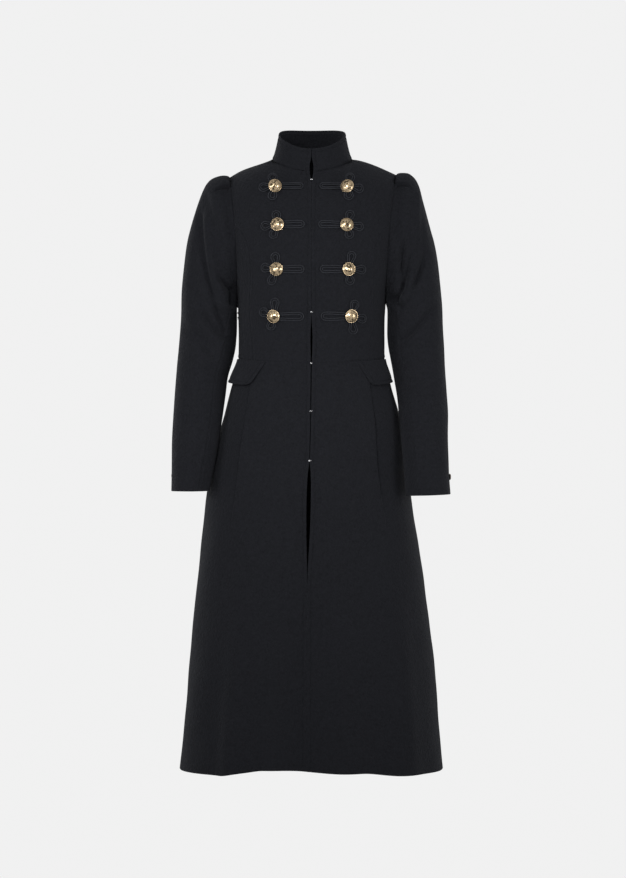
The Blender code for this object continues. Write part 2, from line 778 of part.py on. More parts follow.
def build_skirt():
    columns = spread((0, 0.1, 1), (0.1, 0.7, 5), (0.7, 0.985, 3), (0.985, 1.012, 1))
    columns += spread((1.012, 1.2, 1), (1.2, 2, 5))[1:]
    for side in SIDES:
        edges = ("first_row", "last_column")
        name = "skirt_front_" + SIDE_NAME[side]
        surface, height = skirt_plain(side), skirt_height(side)
        panel(name, surface, columns, SKIRT_ROWS, trunk_centre, height=height, edges=edges)
    surfaces = {side: skirt_plain(side) for side in SIDES}

    def surface(s, v):
        return surfaces[1](s, v) if s <= 4 else surfaces[-1](8 - s, v)

    edges = ("first_row", "first_column", "last_column")
    panel("skirt_back", surface, spread((3, 5, 12)), SKIRT_ROWS, trunk_centre, edges=edges)
    for side in SIDES:
        name = "skirt_side_back_" + SIDE_NAME[side]
        panel(name, surfaces[side], spread((2, 3, 4)), SKIRT_ROWS, trunk_centre, edges=edges)


def build_sleeve(side):
    name = SIDE_NAME[side]
    tuck_back, head_back, head_front, tuck_front, front = ((d + 62) / 204 for d in (-42, -38, 36, 41, 62))
    upper = spread((0, tuck_back, 1), (tuck_back, head_back, 1), (head_back, head_front, 5))
    upper += spread((head_front, tuck_front, 1), (tuck_front, front, 2), (front, 1, 5))[1:]
    under = spread((1, 2, 7))
    edges = ("first_row", "first_column", "last_column")
    surface, height, centre = sleeve_plain(side), sleeve_height(side), sleeve_centre(side)
    panel("sleeve_upper_" + name, surface, upper, SLEEVE_ROWS, centre, height=height, edges=edges)
    panel("sleeve_under_" + name, surface, under, SLEEVE_ROWS, centre, height=height, edges=edges)


def build_collar():
    columns = spread((0, 1, 24))

    def centre(point):
        return np.array([0.0, -0.005, point[2]])

    rows = spread((0, 0.2, 1), (0.2, 1, 4))
    panel("collar", collar, columns, rows, centre, wall=COLLAR_WALL, edges=("first_row",))


def build_flaps():
    columns = spread((0, 0.12, 3), (0.12, 1, 8))
    rows = spread((0, 0.8, 4), (0.8, 1, 2))
    for side in SIDES:
        panel("pocket_flap_" + SIDE_NAME[side], flap(side), columns, rows, trunk_centre, wall=0.0026)


def tree_of(name):
    made = bpy.data.objects[name]
    made.data.calc_loop_triangles()
    points = [v.co.copy() for v in made.data.vertices]
    return BVHTree.FromPolygons(points, [tuple(t.vertices) for t in made.data.loop_triangles])


def on_front(tree, x, z):
    """The point of a front panel's outside at x and z, and its normal."""
    place, normal, _, _ = tree.ray_cast(Vector((x, -1.0, z)), Vector((0, 1, 0)))
    return np.array(place), np.array(normal)


def soft_normal(tree, x, z, reach):
    """The direction a front panel faces, taken over a small patch of it."""
    total = np.zeros(3)
    for dx, dz in ((0, 0), (reach, 0), (-reach, 0), (0, reach), (0, -reach)):
        total += on_front(tree, x + dx, z + dz)[1]
    return total / np.linalg.norm(total)


# Frogs, a row each: side, button, end of the bar, its half height, then the three leaf tips
FROGS = table(
    "side x z end_x half top_x top_z out_x out_z low_x low_z",
    [
        (-1, -0.0723, -0.0502, -0.0150, 0.0086, -0.0790, -0.0240, -0.1045, -0.0545, -0.0785, -0.0800),
        (-1, -0.0662, -0.1270, -0.0126, 0.0088, -0.0700, -0.0985, -0.1005, -0.1310, -0.0780, -0.1560),
        (-1, -0.0675, -0.2153, -0.0132, 0.0088, -0.0715, -0.1810, -0.1000, -0.2100, -0.0815, -0.2460),
        (-1, -0.0731, -0.3076, -0.0142, 0.0094, -0.0705, -0.2700, -0.1025, -0.2940, -0.0820, -0.3350),
        (1, 0.0712, -0.0502, 0.0150, 0.0086, 0.0785, -0.0240, 0.1030, -0.0580, 0.0740, -0.0800),
        (1, 0.0685, -0.1274, 0.0126, 0.0088, 0.0785, -0.0985, 0.1030, -0.1325, 0.0765, -0.1565),
        (1, 0.0719, -0.2151, 0.0160, 0.0088, 0.0805, -0.1790, 0.1080, -0.2150, 0.0760, -0.2470),
        (1, 0.0771, -0.3070, 0.0176, 0.0096, 0.0870, -0.2740, 0.1090, -0.3130, 0.0830, -0.3430),
    ],
)


# The bar of a frog: distance from its button and share of its half height
BAR = ((0.006, 0.75), (0.014, 0.8), (0.022, 0.86), (0.030, 0.94), (0.038, 1.0))
FROG_SEAT = 0.0006


def frog_path(row):
    """One closed line in x and z: the long bar out and back, then the leaves low, outer and top."""
    side, hub = row["side"], np.array([row["x"], row["z"]])
    half = row["half"] - CORD_WIDTH / 2
    line = []
    end = row["end_x"] + side * row["half"]
    for x, z in BAR:
        if hub[0] * side - x > end * side + 0.004:
            line.append((hub[0] - side * x, hub[1] + half * z))
    for k in range(7):
        turn = math.pi / 2 - math.pi * k / 6
        line.append((end - side * half * math.cos(turn), hub[1] + half * math.sin(turn)))
    for x, z in reversed(BAR):
        if hub[0] * side - x > end * side + 0.004:
            line.append((hub[0] - side * x, hub[1] - half * z))
    for tip in ("low", "out", "top"):
        end = np.array([row[tip + "_x"], row[tip + "_z"]])
        along = end - hub
        length = np.linalg.norm(along) - CORD_WIDTH / 2
        along = along / np.linalg.norm(along)
        across = np.array([-along[1], along[0]]) * side
        line.append(tuple(hub + along * LEAF_NECK[0] - across * LEAF_NECK[1]))
        for degrees in LEAF_TURNS:
            turn = math.radians(degrees)
            far = length - LEAF_RADIUS + LEAF_RADIUS * math.cos(turn)
            line.append(tuple(hub + along * far + across * LEAF_RADIUS * math.sin(turn)))
        line.append(tuple(hub + along * LEAF_NECK[0] + across * LEAF_NECK[1]))
    return line


# Loop at the end of a leaf: its radius, and the directions of its points in degrees
LEAF_RADIUS = 0.0070
LEAF_TURNS = (-135, -90, -45, 0, 45, 90, 135)
LEAF_NECK = (0.0085, 0.0022)


def build_frog(index, row, tree):
    """One cord laid along the frog's line, just clear of the cloth. Returns its points, four at a time."""
    line = frog_path(row)
    count = len(line)
    places, normals, across, lifts = [], [], [], [FROG_SEAT] * count
    for i, (x, z) in enumerate(line):
        normal = soft_normal(tree, x, z, 0.005)
        before, after = line[i - 1], line[(i + 1) % count]
        along = np.array([after[0] - before[0], 0.0, after[1] - before[1]])
        along = along - normal * np.dot(along, normal)
        places.append(on_front(tree, x, z)[0])
        normals.append(normal)
        across.append(np.cross(normal, along / np.linalg.norm(along)) * CORD_WIDTH / 2)
    for _ in range(5):
        for i in range(count):
            n = (i + 1) % count
            for wide in (-1, 0, 1):
                a = places[i] + across[i] * wide + normals[i] * lifts[i]
                b = places[n] + across[n] * wide + normals[n] * lifts[n]
                for share in (0.0, 0.25, 0.5, 0.75):
                    q = a + (b - a) * share
                    clear = (on_front(tree, q[0], q[2])[0][1] - q[1]) * -normals[i][1]
                    if clear < 0.0003:
                        lifts[i] += 0.0004 - clear
                        lifts[n] += 0.0004 - clear
    profile = ((-1, 0.0), (-0.68, 1.0), (0.68, 1.0), (1, 0.0))
    points = []
    for i in range(count):
        for wide, high in profile:
            points.append(places[i] + across[i] * wide + normals[i] * (lifts[i] + high * CORD_HEIGHT))
    faces = []
    for i in range(count):
        for k in range(4):
            a, b = i * 4 + k, i * 4 + (k + 1) % 4
            c, d = ((i + 1) % count) * 4 + (k + 1) % 4, ((i + 1) % count) * 4 + k
            faces.append((a, b, c, d))
    if signed_volume(points, faces) < 0:
        faces = [tuple(reversed(face)) for face in faces]
    name = "frog_%s_%d" % (SIDE_NAME[int(row["side"])], index)
    add_object(name, points, faces, CORD)
    return points


def signed_volume(points, faces):
    total = 0.0
    for face in faces:
        for k in range(1, len(face) - 1):
            a, b, c = points[face[0]], points[face[k]], points[face[k + 1]]
            total += np.dot(a, np.cross(b, c))
    return total


def turned(name, outline, place, axis, look, segments):
    """A round piece: the outline of radius and height turned about its axis."""
    axis = axis / np.linalg.norm(axis)
    across = np.cross(axis, (0.0, 0.0, 1.0))
    across = across / np.linalg.norm(across)
    third = np.cross(axis, across)
    points = [place + axis * outline[0][1]]
    for r, h in outline[1:-1]:
        for k in range(segments):
            a = 2 * math.pi * k / segments
            points.append(place + axis * h + (across * math.cos(a) + third * math.sin(a)) * r)
    points.append(place + axis * outline[-1][1])
    last = len(points) - 1
    faces = []
    for k in range(segments):
        n = (k + 1) % segments
        faces.append((0, 1 + n, 1 + k))
        for ring in range(len(outline) - 3):
            a = 1 + ring * segments
            b = a + segments
            faces.append((a + k, a + n, b + n, b + k))
        a = 1 + (len(outline) - 3) * segments
        faces.append((a + k, a + n, last))
    if signed_volume(points, faces) < 0:
        faces = [tuple(reversed(face)) for face in faces]
    return add_object(name, points, faces, look)


DOME = ((0, 0), (0.62, 0), (1.0, 0.09), (1.0, 0.18), (0.88, 0.28), (0.56, 0.54), (0, 0.65))


def seat_height(place, normal, cord, tree):
    """How high a button's base stands over the place, to rest on the cord and clear the cloth."""
    found = [place]
    for k in range(16):
        turn = 2 * math.pi * k / 16
        for reach in (0.6, 1.0):
            x = place[0] + BUTTON_RADIUS * reach * math.cos(turn)
            found.append(on_front(tree, x, place[2] + BUTTON_RADIUS * reach * math.sin(turn))[0])
    for i, a in enumerate(cord):
        b = cord[(i + 4) % len(cord)]
        found += [a + (b - a) * share for share in (0.0, 0.2, 0.4, 0.6, 0.8)]
    high = 0.0
    for point in found:
        up = np.dot(point - place, normal)
        off = np.linalg.norm(point - place - normal * up) / BUTTON_RADIUS
        if off < 1:
            high = max(high, up - BUTTON_RADIUS * 0.09 * max(0.0, off - 0.62) / 0.38)
    return high


def build_trim():
    trees = {side: tree_of("bodice_front_" + SIDE_NAME[side]) for side in SIDES}
    for i in range(len(FROGS["side"])):
        row = {name: FROGS[name][i] for name in FROGS}
        side = int(row["side"])
        number = i % 4 + 1
        cord = build_frog(number, row, trees[side])
        normal = soft_normal(trees[side], row["x"], row["z"], 0.011)
        place = on_front(trees[side], row["x"], row["z"] - normal[2] * BUTTON_RADIUS * 0.45)[0]
        seat = place + normal * (seat_height(place, normal, cord, trees[side]) + 0.0004)
        outline = [(r * BUTTON_RADIUS, h * BUTTON_RADIUS) for r, h in DOME]
        turned("button_%s_%d" % (SIDE_NAME[side], number), outline, seat, normal, GOLD, 18)


# Small hooks and eyes, by level of each
HOOK_LEVELS = (-0.0360, -0.2990, -0.3990, -0.4930, -0.5900)
HOOK_SIZE = (0.0036, 0.0015, 0.0011)


def build_hooks():
    for i, z in enumerate(HOOK_LEVELS):
        shift = read(FRONT_EDGE, "z", "shift", z)
        low = bodice(1)
        if z > WAIST_SIDE_Z - WAIST_DROP:
            near = min((abs(low(0, v)[2] - z), v) for v in spread((0, 2, 400)))[1]
            front = low(0, near)[1]
        else:
            share = (waist_z(0) - z) / (waist_z(0) - hem_z(1, 0))
            front = skirt_plain(1)(0, share)[1] - 0.0002
        base = front - 0.0009
        points = []
        for y, shrink in ((base, 1.0), (base - HOOK_SIZE[2], 0.7)):
            for k in range(10):
                a = 2 * math.pi * k / 10
                wide, tall = HOOK_SIZE[0] * shrink * math.cos(a), HOOK_SIZE[1] * shrink * math.sin(a)
                points.append(np.array([shift + wide, y, z + tall]))
        faces = [tuple(range(9, -1, -1)), tuple(range(10, 20))]
        faces += [(k, (k + 1) % 10, 10 + (k + 1) % 10, 10 + k) for k in range(10)]
        if signed_volume(points, faces) < 0:
            faces = [tuple(reversed(face)) for face in faces]
        add_object("hook_%d" % (i + 1), points, faces, STEEL)


# Cuff buttons: ring of the sleeve on which each stands, one a sleeve, just in front of the hind seam
CUFF_BUTTON_RADIUS = 0.0062
CUFF_BUTTON_RING = 19.3


def build_cuff_buttons():
    for side in SIDES:
        surface = sleeve_plain(side)
        s = 0.045
        tree = tree_of("sleeve_upper_" + SIDE_NAME[side])
        point = surface(s, CUFF_BUTTON_RING)
        n = normal_at(surface, s, CUFF_BUTTON_RING, point - sleeve_centre(side)(point))
        start = Vector(point + n * 0.05)
        hit, _, _, _ = tree.ray_cast(start, Vector(-n))
        outline = [(r * CUFF_BUTTON_RADIUS, h * CUFF_BUTTON_RADIUS) for r, h in CUFF_DOME]
        turned("cuff_button_" + SIDE_NAME[side], outline, np.array(hit) + n * 0.0008, n, BRONZE, 14)


CUFF_DOME = ((0, 0), (0.85, 0), (1.0, 0.14), (0.86, 0.34), (0.45, 0.42), (0, 0.44))


def main():
    for made in list(bpy.data.objects):
        bpy.data.objects.remove(made, do_unlink=True)
    build_collar()
    for side in SIDES:
        build_bodice(side)
        build_sleeve(side)
    build_bodice_back()
    build_skirt()
    build_flaps()
    build_trim()
    build_hooks()
    build_cuff_buttons()


main()
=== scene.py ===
import math

import bpy
import numpy as np
from bpy.props import FloatProperty, FloatVectorProperty, PointerProperty
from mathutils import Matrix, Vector
from mathutils.bvhtree import BVHTree


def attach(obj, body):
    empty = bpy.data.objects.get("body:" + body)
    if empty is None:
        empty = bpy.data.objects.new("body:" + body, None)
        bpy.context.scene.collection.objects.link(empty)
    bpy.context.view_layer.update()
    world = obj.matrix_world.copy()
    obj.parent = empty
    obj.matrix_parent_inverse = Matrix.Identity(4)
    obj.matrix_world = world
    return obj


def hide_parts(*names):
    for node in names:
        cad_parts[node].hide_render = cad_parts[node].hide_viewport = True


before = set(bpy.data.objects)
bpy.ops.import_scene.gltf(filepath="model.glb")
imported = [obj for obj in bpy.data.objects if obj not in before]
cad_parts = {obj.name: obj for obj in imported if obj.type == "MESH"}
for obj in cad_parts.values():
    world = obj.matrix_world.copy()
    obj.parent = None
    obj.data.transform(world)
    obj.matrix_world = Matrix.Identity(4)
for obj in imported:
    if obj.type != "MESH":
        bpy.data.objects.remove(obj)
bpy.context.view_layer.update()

bl_info = {
    "name": "Long military coat",
    "version": (1, 0, 0),
    "blender": (4, 5, 0),
    "location": "3D View > Sidebar > Coat",
    "description": "Builds a long fitted wool coat with cord frogs, dome buttons and hooks",
    "category": "Object",
}

# The coat is hollow, as worn. Metres, +Z up, front towards -Y.
# Side -1 is the viewer's left (the wearer's right), side 1 the viewer's right.

SIDES = (-1, 1)
SIDE_NAME = {-1: "left", 1: "right"}
# Levels of the chest, of the waist at the sides and of the hem
CHEST_Z = -0.310
WAIST_SIDE_Z = -0.387
HEM_Z = -1.2065
# How far the waist drops to the front, and the power that shapes the drop
WAIST_DROP = 0.0125
WAIST_TURN = 1.4
# How square the sections of the trunk are: 2 is an ellipse
SQUARE = 2.3
# Direction of the back seams from the front, in degrees
BACK_SEAM = 124
# Rings of the collar at its base and top: half width, half depth, how far forward it stands,
# then its middle level, its rise from front to back and its dip at the sides
NECK_RING = (0.0795, 0.070, 0.008, 0.00575, 0.0205, 0.00425)
COLLAR_RING = (0.0668, 0.0595, 0.006, 0.05625, 0.0235, 0.00575)
# How far the sides of the collar stand to the right of the middle, and its bulge (below zero a hollow)
COLLAR_SHIFT = 0.0014
COLLAR_BULGE = -0.0010
# The last ring of a sleeve, at its cuff
LAST_RING = 20
# Seams of a sleeve in degrees from its outer line: hind and fore at the armhole, hind at the cuff,
# and how far the fore seam turns on its way there
HIND_SEAM, FORE_SEAM = 62, 142
HIND_AT_CUFF = {-1: 34.0, 1: 20.0}
FORE_TURN = 24


# Tables of sizes. Most are read as smooth curves through their rows


def table(names, rows):
    columns = names.split()
    return {name: np.array([row[i] for row in rows], float) for i, name in enumerate(columns)}


def bend(keys, values):
    """Slopes at the rows that never let the curve overshoot them."""
    steps = np.diff(values) / np.diff(keys)
    slopes = np.concatenate([steps[:1], (steps[:-1] + steps[1:]) / 2, steps[-1:]])
    for i in range(1, len(steps)):
        if steps[i - 1] * steps[i] <= 0:
            slopes[i] = 0.0
        else:
            least = min(abs(steps[i - 1]), abs(steps[i]))
            slopes[i] = math.copysign(min(abs(slopes[i]), 3 * least), slopes[i])
    return slopes


def read(rows, key, name, x):
    """Values of one column of a table at x, as a smooth curve through its rows."""
    keys, values = rows[key], rows[name]
    if "slope " + name not in rows:
        rows["slope " + name] = bend(keys, values)
    slopes = rows["slope " + name]
    x = np.clip(x, keys[0], keys[-1])
    i = np.clip(np.searchsorted(keys, x) - 1, 0, len(keys) - 2)
    h = keys[i + 1] - keys[i]
    t = (x - keys[i]) / h
    a = (2 * t**3 - 3 * t**2 + 1) * values[i] + (t**3 - 2 * t**2 + t) * h * slopes[i]
    b = (3 * t**2 - 2 * t**3) * values[i + 1] + (t**3 - t**2) * h * slopes[i + 1]
    return a + b


def size(name):
    """A size of the property group, which keeps it in single precision, as the number that was set."""
    return round(getattr(bpy.context.scene.coat_sizes, name), 6)


def xyz(x, y, z):
    return np.stack(np.broadcast_arrays(x, y, z), axis=-1).astype(float)


def unit(v):
    return v / np.maximum(np.linalg.norm(v, axis=-1, keepdims=True), 1e-12)


def gauss(x, width):
    return np.exp(-((x / width) ** 2))


def smooth(t):
    t = np.clip(t, 0, 1)
    return t * t * (3 - 2 * t)


# Sections of the trunk and skirt, a row per level: half widths and depths
BODY = table(
    "z left right front back",
    [
        (-1.210, 0.2630, 0.2624, 0.165, 0.170),
        (-1.150, 0.2562, 0.2566, 0.162, 0.166),
        (-1.030, 0.2460, 0.2474, 0.157, 0.158),
        (-0.910, 0.2354, 0.2342, 0.152, 0.149),
        (-0.790, 0.2230, 0.2180, 0.146, 0.139),
        (-0.650, 0.2070, 0.1965, 0.138, 0.127),
        (-0.550, 0.1880, 0.1840, 0.130, 0.117),
        (-0.490, 0.1704, 0.1720, 0.124, 0.109),
        (-0.450, 0.1598, 0.1596, 0.118, 0.101),
        (-0.420, 0.1520, 0.1520, 0.113, 0.093),
        (-0.387, 0.1450, 0.1450, 0.108, 0.086),
        (-0.350, 0.1450, 0.1448, 0.112, 0.090),
        (-0.310, 0.1457, 0.1455, 0.119, 0.098),
        (-0.250, 0.1480, 0.1480, 0.128, 0.106),
    ],
)

# The trunk above the chest, before the shoulders round it off
UPPER = table(
    "z wide front back",
    [
        (-0.310, 0.1456, 0.1190, 0.0980),
        (-0.250, 0.1495, 0.1265, 0.1045),
        (-0.200, 0.1590, 0.1280, 0.1080),
        (-0.140, 0.1690, 0.1240, 0.1075),
        (-0.080, 0.1740, 0.1160, 0.1020),
        (-0.040, 0.1760, 0.1090, 0.0950),
        (-0.019, 0.1760, 0.1050, 0.0900),
        (0.010, 0.1760, 0.1000, 0.0850),
        (0.030, 0.1760, 0.0970, 0.0800),
    ],
)
# Lengths over which the shoulders and the neck round off
SHOULDER_ROUND = 0.062
NECK_ROUND = 0.105

# Sleeve sections, a row per ring: outer and inner ends of the ring in x and z, centre and depths in y
SLEEVE = {
    -1: table(
        "v ox oz ix iz y front back",
        [
            (0, 0.1630, -0.0250, 0.1482, -0.250, 0.000, 0.066, 0.064),
            (1, 0.1740, -0.0215, 0.1490, -0.253, 0.000, 0.068, 0.066),
            (2, 0.1870, -0.0235, 0.1491, -0.256, 0.000, 0.069, 0.067),
            (3, 0.2000, -0.0290, 0.1491, -0.259, 0.000, 0.069, 0.068),
            (4, 0.2095, -0.0385, 0.1491, -0.262, 0.000, 0.069, 0.068),
            (5, 0.2170, -0.0520, 0.1491, -0.266, 0.001, 0.068, 0.068),
            (6, 0.2245, -0.0710, 0.1490, -0.271, 0.001, 0.067, 0.067),
            (7, 0.2320, -0.0930, 0.1488, -0.277, 0.002, 0.066, 0.067),
            (8, 0.2400, -0.1200, 0.1487, -0.285, 0.003, 0.065, 0.066),
            (9, 0.2480, -0.1530, 0.1486, -0.296, 0.004, 0.064, 0.065),
            (10, 0.2540, -0.1920, 0.1485, -0.311, 0.005, 0.063, 0.064),
            (11, 0.2585, -0.2320, 0.1486, -0.328, 0.006, 0.062, 0.063),
            (12, 0.2612, -0.2750, 0.1495, -0.345, 0.006, 0.061, 0.062),
            (13, 0.2628, -0.3180, 0.1520, -0.368, 0.006, 0.060, 0.061),
            (14, 0.2650, -0.3620, 0.1580, -0.393, 0.003, 0.058, 0.060),
            (15, 0.2690, -0.4050, 0.1675, -0.424, -0.004, 0.056, 0.057),
            (16, 0.2720, -0.4500, 0.1715, -0.460, -0.018, 0.053, 0.054),
            (17, 0.2750, -0.5050, 0.1765, -0.508, -0.036, 0.050, 0.051),
            (18, 0.2770, -0.5600, 0.1850, -0.561, -0.052, 0.048, 0.048),
            (19, 0.2773, -0.6100, 0.1940, -0.610, -0.060, 0.046, 0.046),
            (20, 0.2770, -0.6510, 0.2015, -0.651, -0.066, 0.045, 0.045),
        ],
    ),
    1: table(
        "v ox oz ix iz y front back",
        [
            (0, 0.1690, -0.0200, 0.1482, -0.250, 0.000, 0.066, 0.064),
            (1, 0.1800, -0.0160, 0.1495, -0.253, 0.000, 0.068, 0.066),
            (2, 0.1920, -0.0165, 0.1500, -0.256, 0.000, 0.069, 0.067),
            (3, 0.2020, -0.0220, 0.1505, -0.259, 0.000, 0.069, 0.068),
            (4, 0.2100, -0.0310, 0.1510, -0.262, 0.000, 0.069, 0.068),
            (5, 0.2165, -0.0460, 0.1514, -0.266, 0.001, 0.068, 0.068),
            (6, 0.2222, -0.0690, 0.1516, -0.271, 0.001, 0.067, 0.067),
            (7, 0.2292, -0.0950, 0.1516, -0.277, 0.002, 0.066, 0.067),
            (8, 0.2384, -0.1300, 0.1516, -0.285, 0.003, 0.065, 0.066),
            (9, 0.2465, -0.1580, 0.1516, -0.296, 0.004, 0.064, 0.065),
            (10, 0.2532, -0.1920, 0.1516, -0.311, 0.005, 0.063, 0.064),
            (11, 0.2578, -0.2320, 0.1516, -0.328, 0.006, 0.062, 0.063),
            (12, 0.2612, -0.2750, 0.1520, -0.345, 0.006, 0.061, 0.062),
            (13, 0.2625, -0.3180, 0.1545, -0.368, 0.006, 0.060, 0.061),
            (14, 0.2650, -0.3620, 0.1592, -0.393, 0.003, 0.058, 0.060),
            (15, 0.2668, -0.4050, 0.1655, -0.426, -0.006, 0.056, 0.057),
            (16, 0.2690, -0.4500, 0.1702, -0.462, -0.022, 0.053, 0.054),
            (17, 0.2712, -0.5050, 0.1735, -0.510, -0.045, 0.050, 0.051),
            (18, 0.2708, -0.5600, 0.1780, -0.562, -0.064, 0.048, 0.048),
            (19, 0.2708, -0.6100, 0.1822, -0.612, -0.075, 0.046, 0.046),
            (20, 0.2736, -0.6570, 0.1862, -0.660, -0.083, 0.045, 0.045),
        ],
    ),
}

# Where the fold under each flap stands, by level
FOLD_X = {
    -1: table(
        "z x",
        [
            (-0.700, 0.1560),
            (-0.650, 0.1480),
            (-0.575, 0.1395),
            (-0.505, 0.1285),
            (-0.442, 0.1185),
            (-0.387, 0.1110),
        ],
    ),
    1: table(
        "z x",
        [
            (-0.700, 0.1440),
            (-0.610, 0.1300),
            (-0.510, 0.1225),
            (-0.450, 0.1150),
            (-0.387, 0.1110),
        ],
    ),
}
# Where the front seams of the bodice stand, by level
SEAM_X = table("z x", [(-0.387, 0.1140), (-0.350, 0.1170), (-0.310, 0.1205), (-0.250, 0.1240)])
# How far the fold under a flap stands out, by level
FOLD_HEIGHT = table(
    "z h",
    [
        (-0.730, 0.000),
        (-0.660, 0.002),
        (-0.580, 0.005),
        (-0.465, 0.004),
        (-0.430, 0.0028),
        (-0.387, 0.0014),
    ],
)

# Flutes of the skirt: direction in degrees from the front, height, width in degrees, level where it starts
FLUTES = table(
    "angle height width start",
    [
        (-47, 0.017, 7, -0.74),
        (-28, 0.005, 7, -0.80),
        (0, -0.022, 17, -0.62),
        (26, 0.004, 8, -0.80),
        (54, 0.016, 9, -0.66),
        (-140, 0.020, 13, -0.60),
        (140, 0.020, 13, -0.60),
        (180, -0.010, 18, -0.60),
    ],
)

# How far the hem rides up, by direction in degrees from the front
HEM_LIFT = table(
    "angle lift",
    [
        (-180, 0.000),
        (-52, 0.000),
        (-40, 0.007),
        (-30, 0.012),
        (-12, 0.011),
        (6, 0.007),
        (22, 0.005),
        (35, 0.006),
        (54, 0.000),
        (180, 0.000),
    ],
)

# Centre front edges by level: sideways shift of the line and half of the gap
FRONT_EDGE = table(
    "z shift half",
    [
        (-1.210, -0.0098, 0.0003),
        (-0.860, -0.0085, 0.0004),
        (-0.800, -0.0078, 0.0012),
        (-0.740, -0.0068, 0.0036),
        (-0.670, -0.0055, 0.0046),
        (-0.620, -0.0044, 0.0035),
        (-0.590, -0.0036, 0.0010),
        (-0.500, -0.0016, 0.0012),
        (-0.400, -0.0004, 0.0014),
        (-0.350, 0.0000, 0.0024),
        (-0.300, 0.0000, 0.0006),
        (-0.050, 0.0000, 0.0005),
        (-0.036, 0.0000, 0.0010),
        (-0.024, 0.0000, 0.0036),
        (-0.008, 0.0000, 0.0038),
        (0.004, 0.0000, 0.0016),
        (0.012, 0.0000, 0.0006),
        (0.030, 0.0000, 0.0005),
    ],
)

# About how many metres there are to a ring of a sleeve and to a degree round it
CREASE_SCALE = np.array([0.028, 0.0010])
# Creases of each sleeve: ring and direction at both ends, height (below zero a trough), width in metres
CREASES = {
    -1: table(
        "v0 a0 v1 a1 height width",
        [
            (5.0, 30, 11.0, 62, -0.0045, 0.016),
            (11.0, 62, 14.5, 112, -0.0050, 0.019),
            (12.5, 20, 15.0, 60, -0.0020, 0.020),
        ],
    ),
    1: table(
        "v0 a0 v1 a1 height width",
        [
            (5.0, 28, 8.5, 44, 0.0030, 0.015),
            (5.5, 48, 9.5, 70, -0.0030, 0.016),
            (10.0, 84, 13.0, 118, -0.0048, 0.018),
        ],
    ),
}

# The tuck across the sleeve head: direction in degrees, heights and how far it reaches, in rings
TUCK_ANGLE = 38.0
TUCK_RISE = 0.0068
TUCK_FALL = -0.0042
TUCK_REACH = 3.4
# How wide the tuck is above its edge and below it, in degrees
TUCK_ABOVE, TUCK_BELOW = 16.0, 14.0
# Depth of the narrow line in which the cloth is caught below the edge
TUCK_PINCH = -0.0050
# How far the armhole bows towards the body
ARMHOLE_BOW = 0.0050

# Corners of the centre panels, as the share of their width where they reach the shoulder line
NECK_END = 0.36
TIP_START = 0.78
# Direction on a sleeve's first ring where the front and back seams of the bodice start
ARMHOLE_SEAM = math.radians(84)
# How far each shoulder rounds up above its straight line, and where along it (1 is the middle)
SHOULDER_RISE = {-1: 0.0038, 1: 0.0044}
SHOULDER_PEAK = {-1: 1.8, 1: 0.75}

# How far the lower edge of each flap stands out from the skirt, and its upper edge
FLAP_LOW = {-1: 0.0108, 1: 0.0066}
FLAP_TOP = 0.0036
# Directions of a flap's ends and its slant, in degrees, its drop and how much less it drops behind
FLAP_ENDS = (44, 110)
FLAP_SLANT = 8.5
FLAP_DROP, FLAP_LESS = 0.0485, 0.003
# Gap between waist seam and flap, its bulge, and how much its lower front corner curls up
FLAP_GAP, FLAP_BULGE, FLAP_CURL = 0.0008, 0.0008, 0.05

# How much closer the front edges meet than those of the solids
FRONT_CLOSER = 0.0004


# Surfaces of the coat, each a function of s round it and v along it


def radius(z, angle, out=0.0):
    """Distance of the trunk's surface from its axis, in one direction at one level."""
    s, c = np.sin(angle), np.cos(angle)
    wide = np.where(s > 0, read(BODY, "z", "right", z), read(BODY, "z", "left", z)) + out
    deep = np.where(c > 0, read(BODY, "z", "front", z), read(BODY, "z", "back", z)) + out
    return ((np.abs(s) / wide) ** SQUARE + (np.abs(c) / deep) ** SQUARE) ** (-1 / SQUARE)


def angle_at(z, side, x):
    """Direction from the front at which the trunk is x wide."""
    wide = read(BODY, "z", "right" if side > 0 else "left", z)
    deep = read(BODY, "z", "front", z)
    return np.arctan2(x, deep * (1 - (x / wide) ** SQUARE) ** (1 / SQUARE))


def waist_z(angle):
    return WAIST_SIDE_Z - WAIST_DROP * np.maximum(0.0, np.cos(angle)) ** WAIST_TURN


def hem_z(side, angle):
    """Level of the hem, which rides up a little between the front flutes."""
    return HEM_Z + read(HEM_LIFT, "angle", "lift", side * np.degrees(angle))


def neck(angle, form=NECK_RING):
    """A ring of the collar, by default its base, by direction from the front."""
    wide, deep, forward, middle, rise, dip = form
    s, c = np.sin(angle), np.cos(angle)
    z = middle - rise * c - dip * np.cos(2 * angle)
    return xyz(wide * s + COLLAR_SHIFT * s * s, -deep * c - forward, z)


def sleeve_ring(side, angle, v):
    """Points of the plain sleeve. Angle 0 is its outer line, 90 degrees its front, 180 its inner line."""
    rows = SLEEVE[side]
    ox, oz, ix, iz = (read(rows, "v", name, v) for name in ("ox", "oz", "ix", "iz"))
    s, c = np.sin(angle), np.cos(angle)
    depth = np.where(s > 0, read(rows, "v", "front", v), read(rows, "v", "back", v))
    bow = ARMHOLE_BOW * s * s * np.maximum(0.0, 1 - v / 5)
    x = (ox + ix) / 2 + (ox - ix) / 2 * c - bow
    z = (oz + iz) / 2 + (oz - iz) / 2 * c
    return xyz(side * x, read(rows, "v", "y", v) - depth * s, z)


def sleeve_hind(side, v):
    """Direction of the hind seam of the sleeve, behind its outer line."""
    return np.radians(-HIND_SEAM + (HIND_SEAM - HIND_AT_CUFF[side]) * smooth((v - 10) / 10))


def sleeve_fore(v):
    return np.radians(FORE_SEAM - FORE_TURN * np.clip((v - 4) / 16, 0, 1))


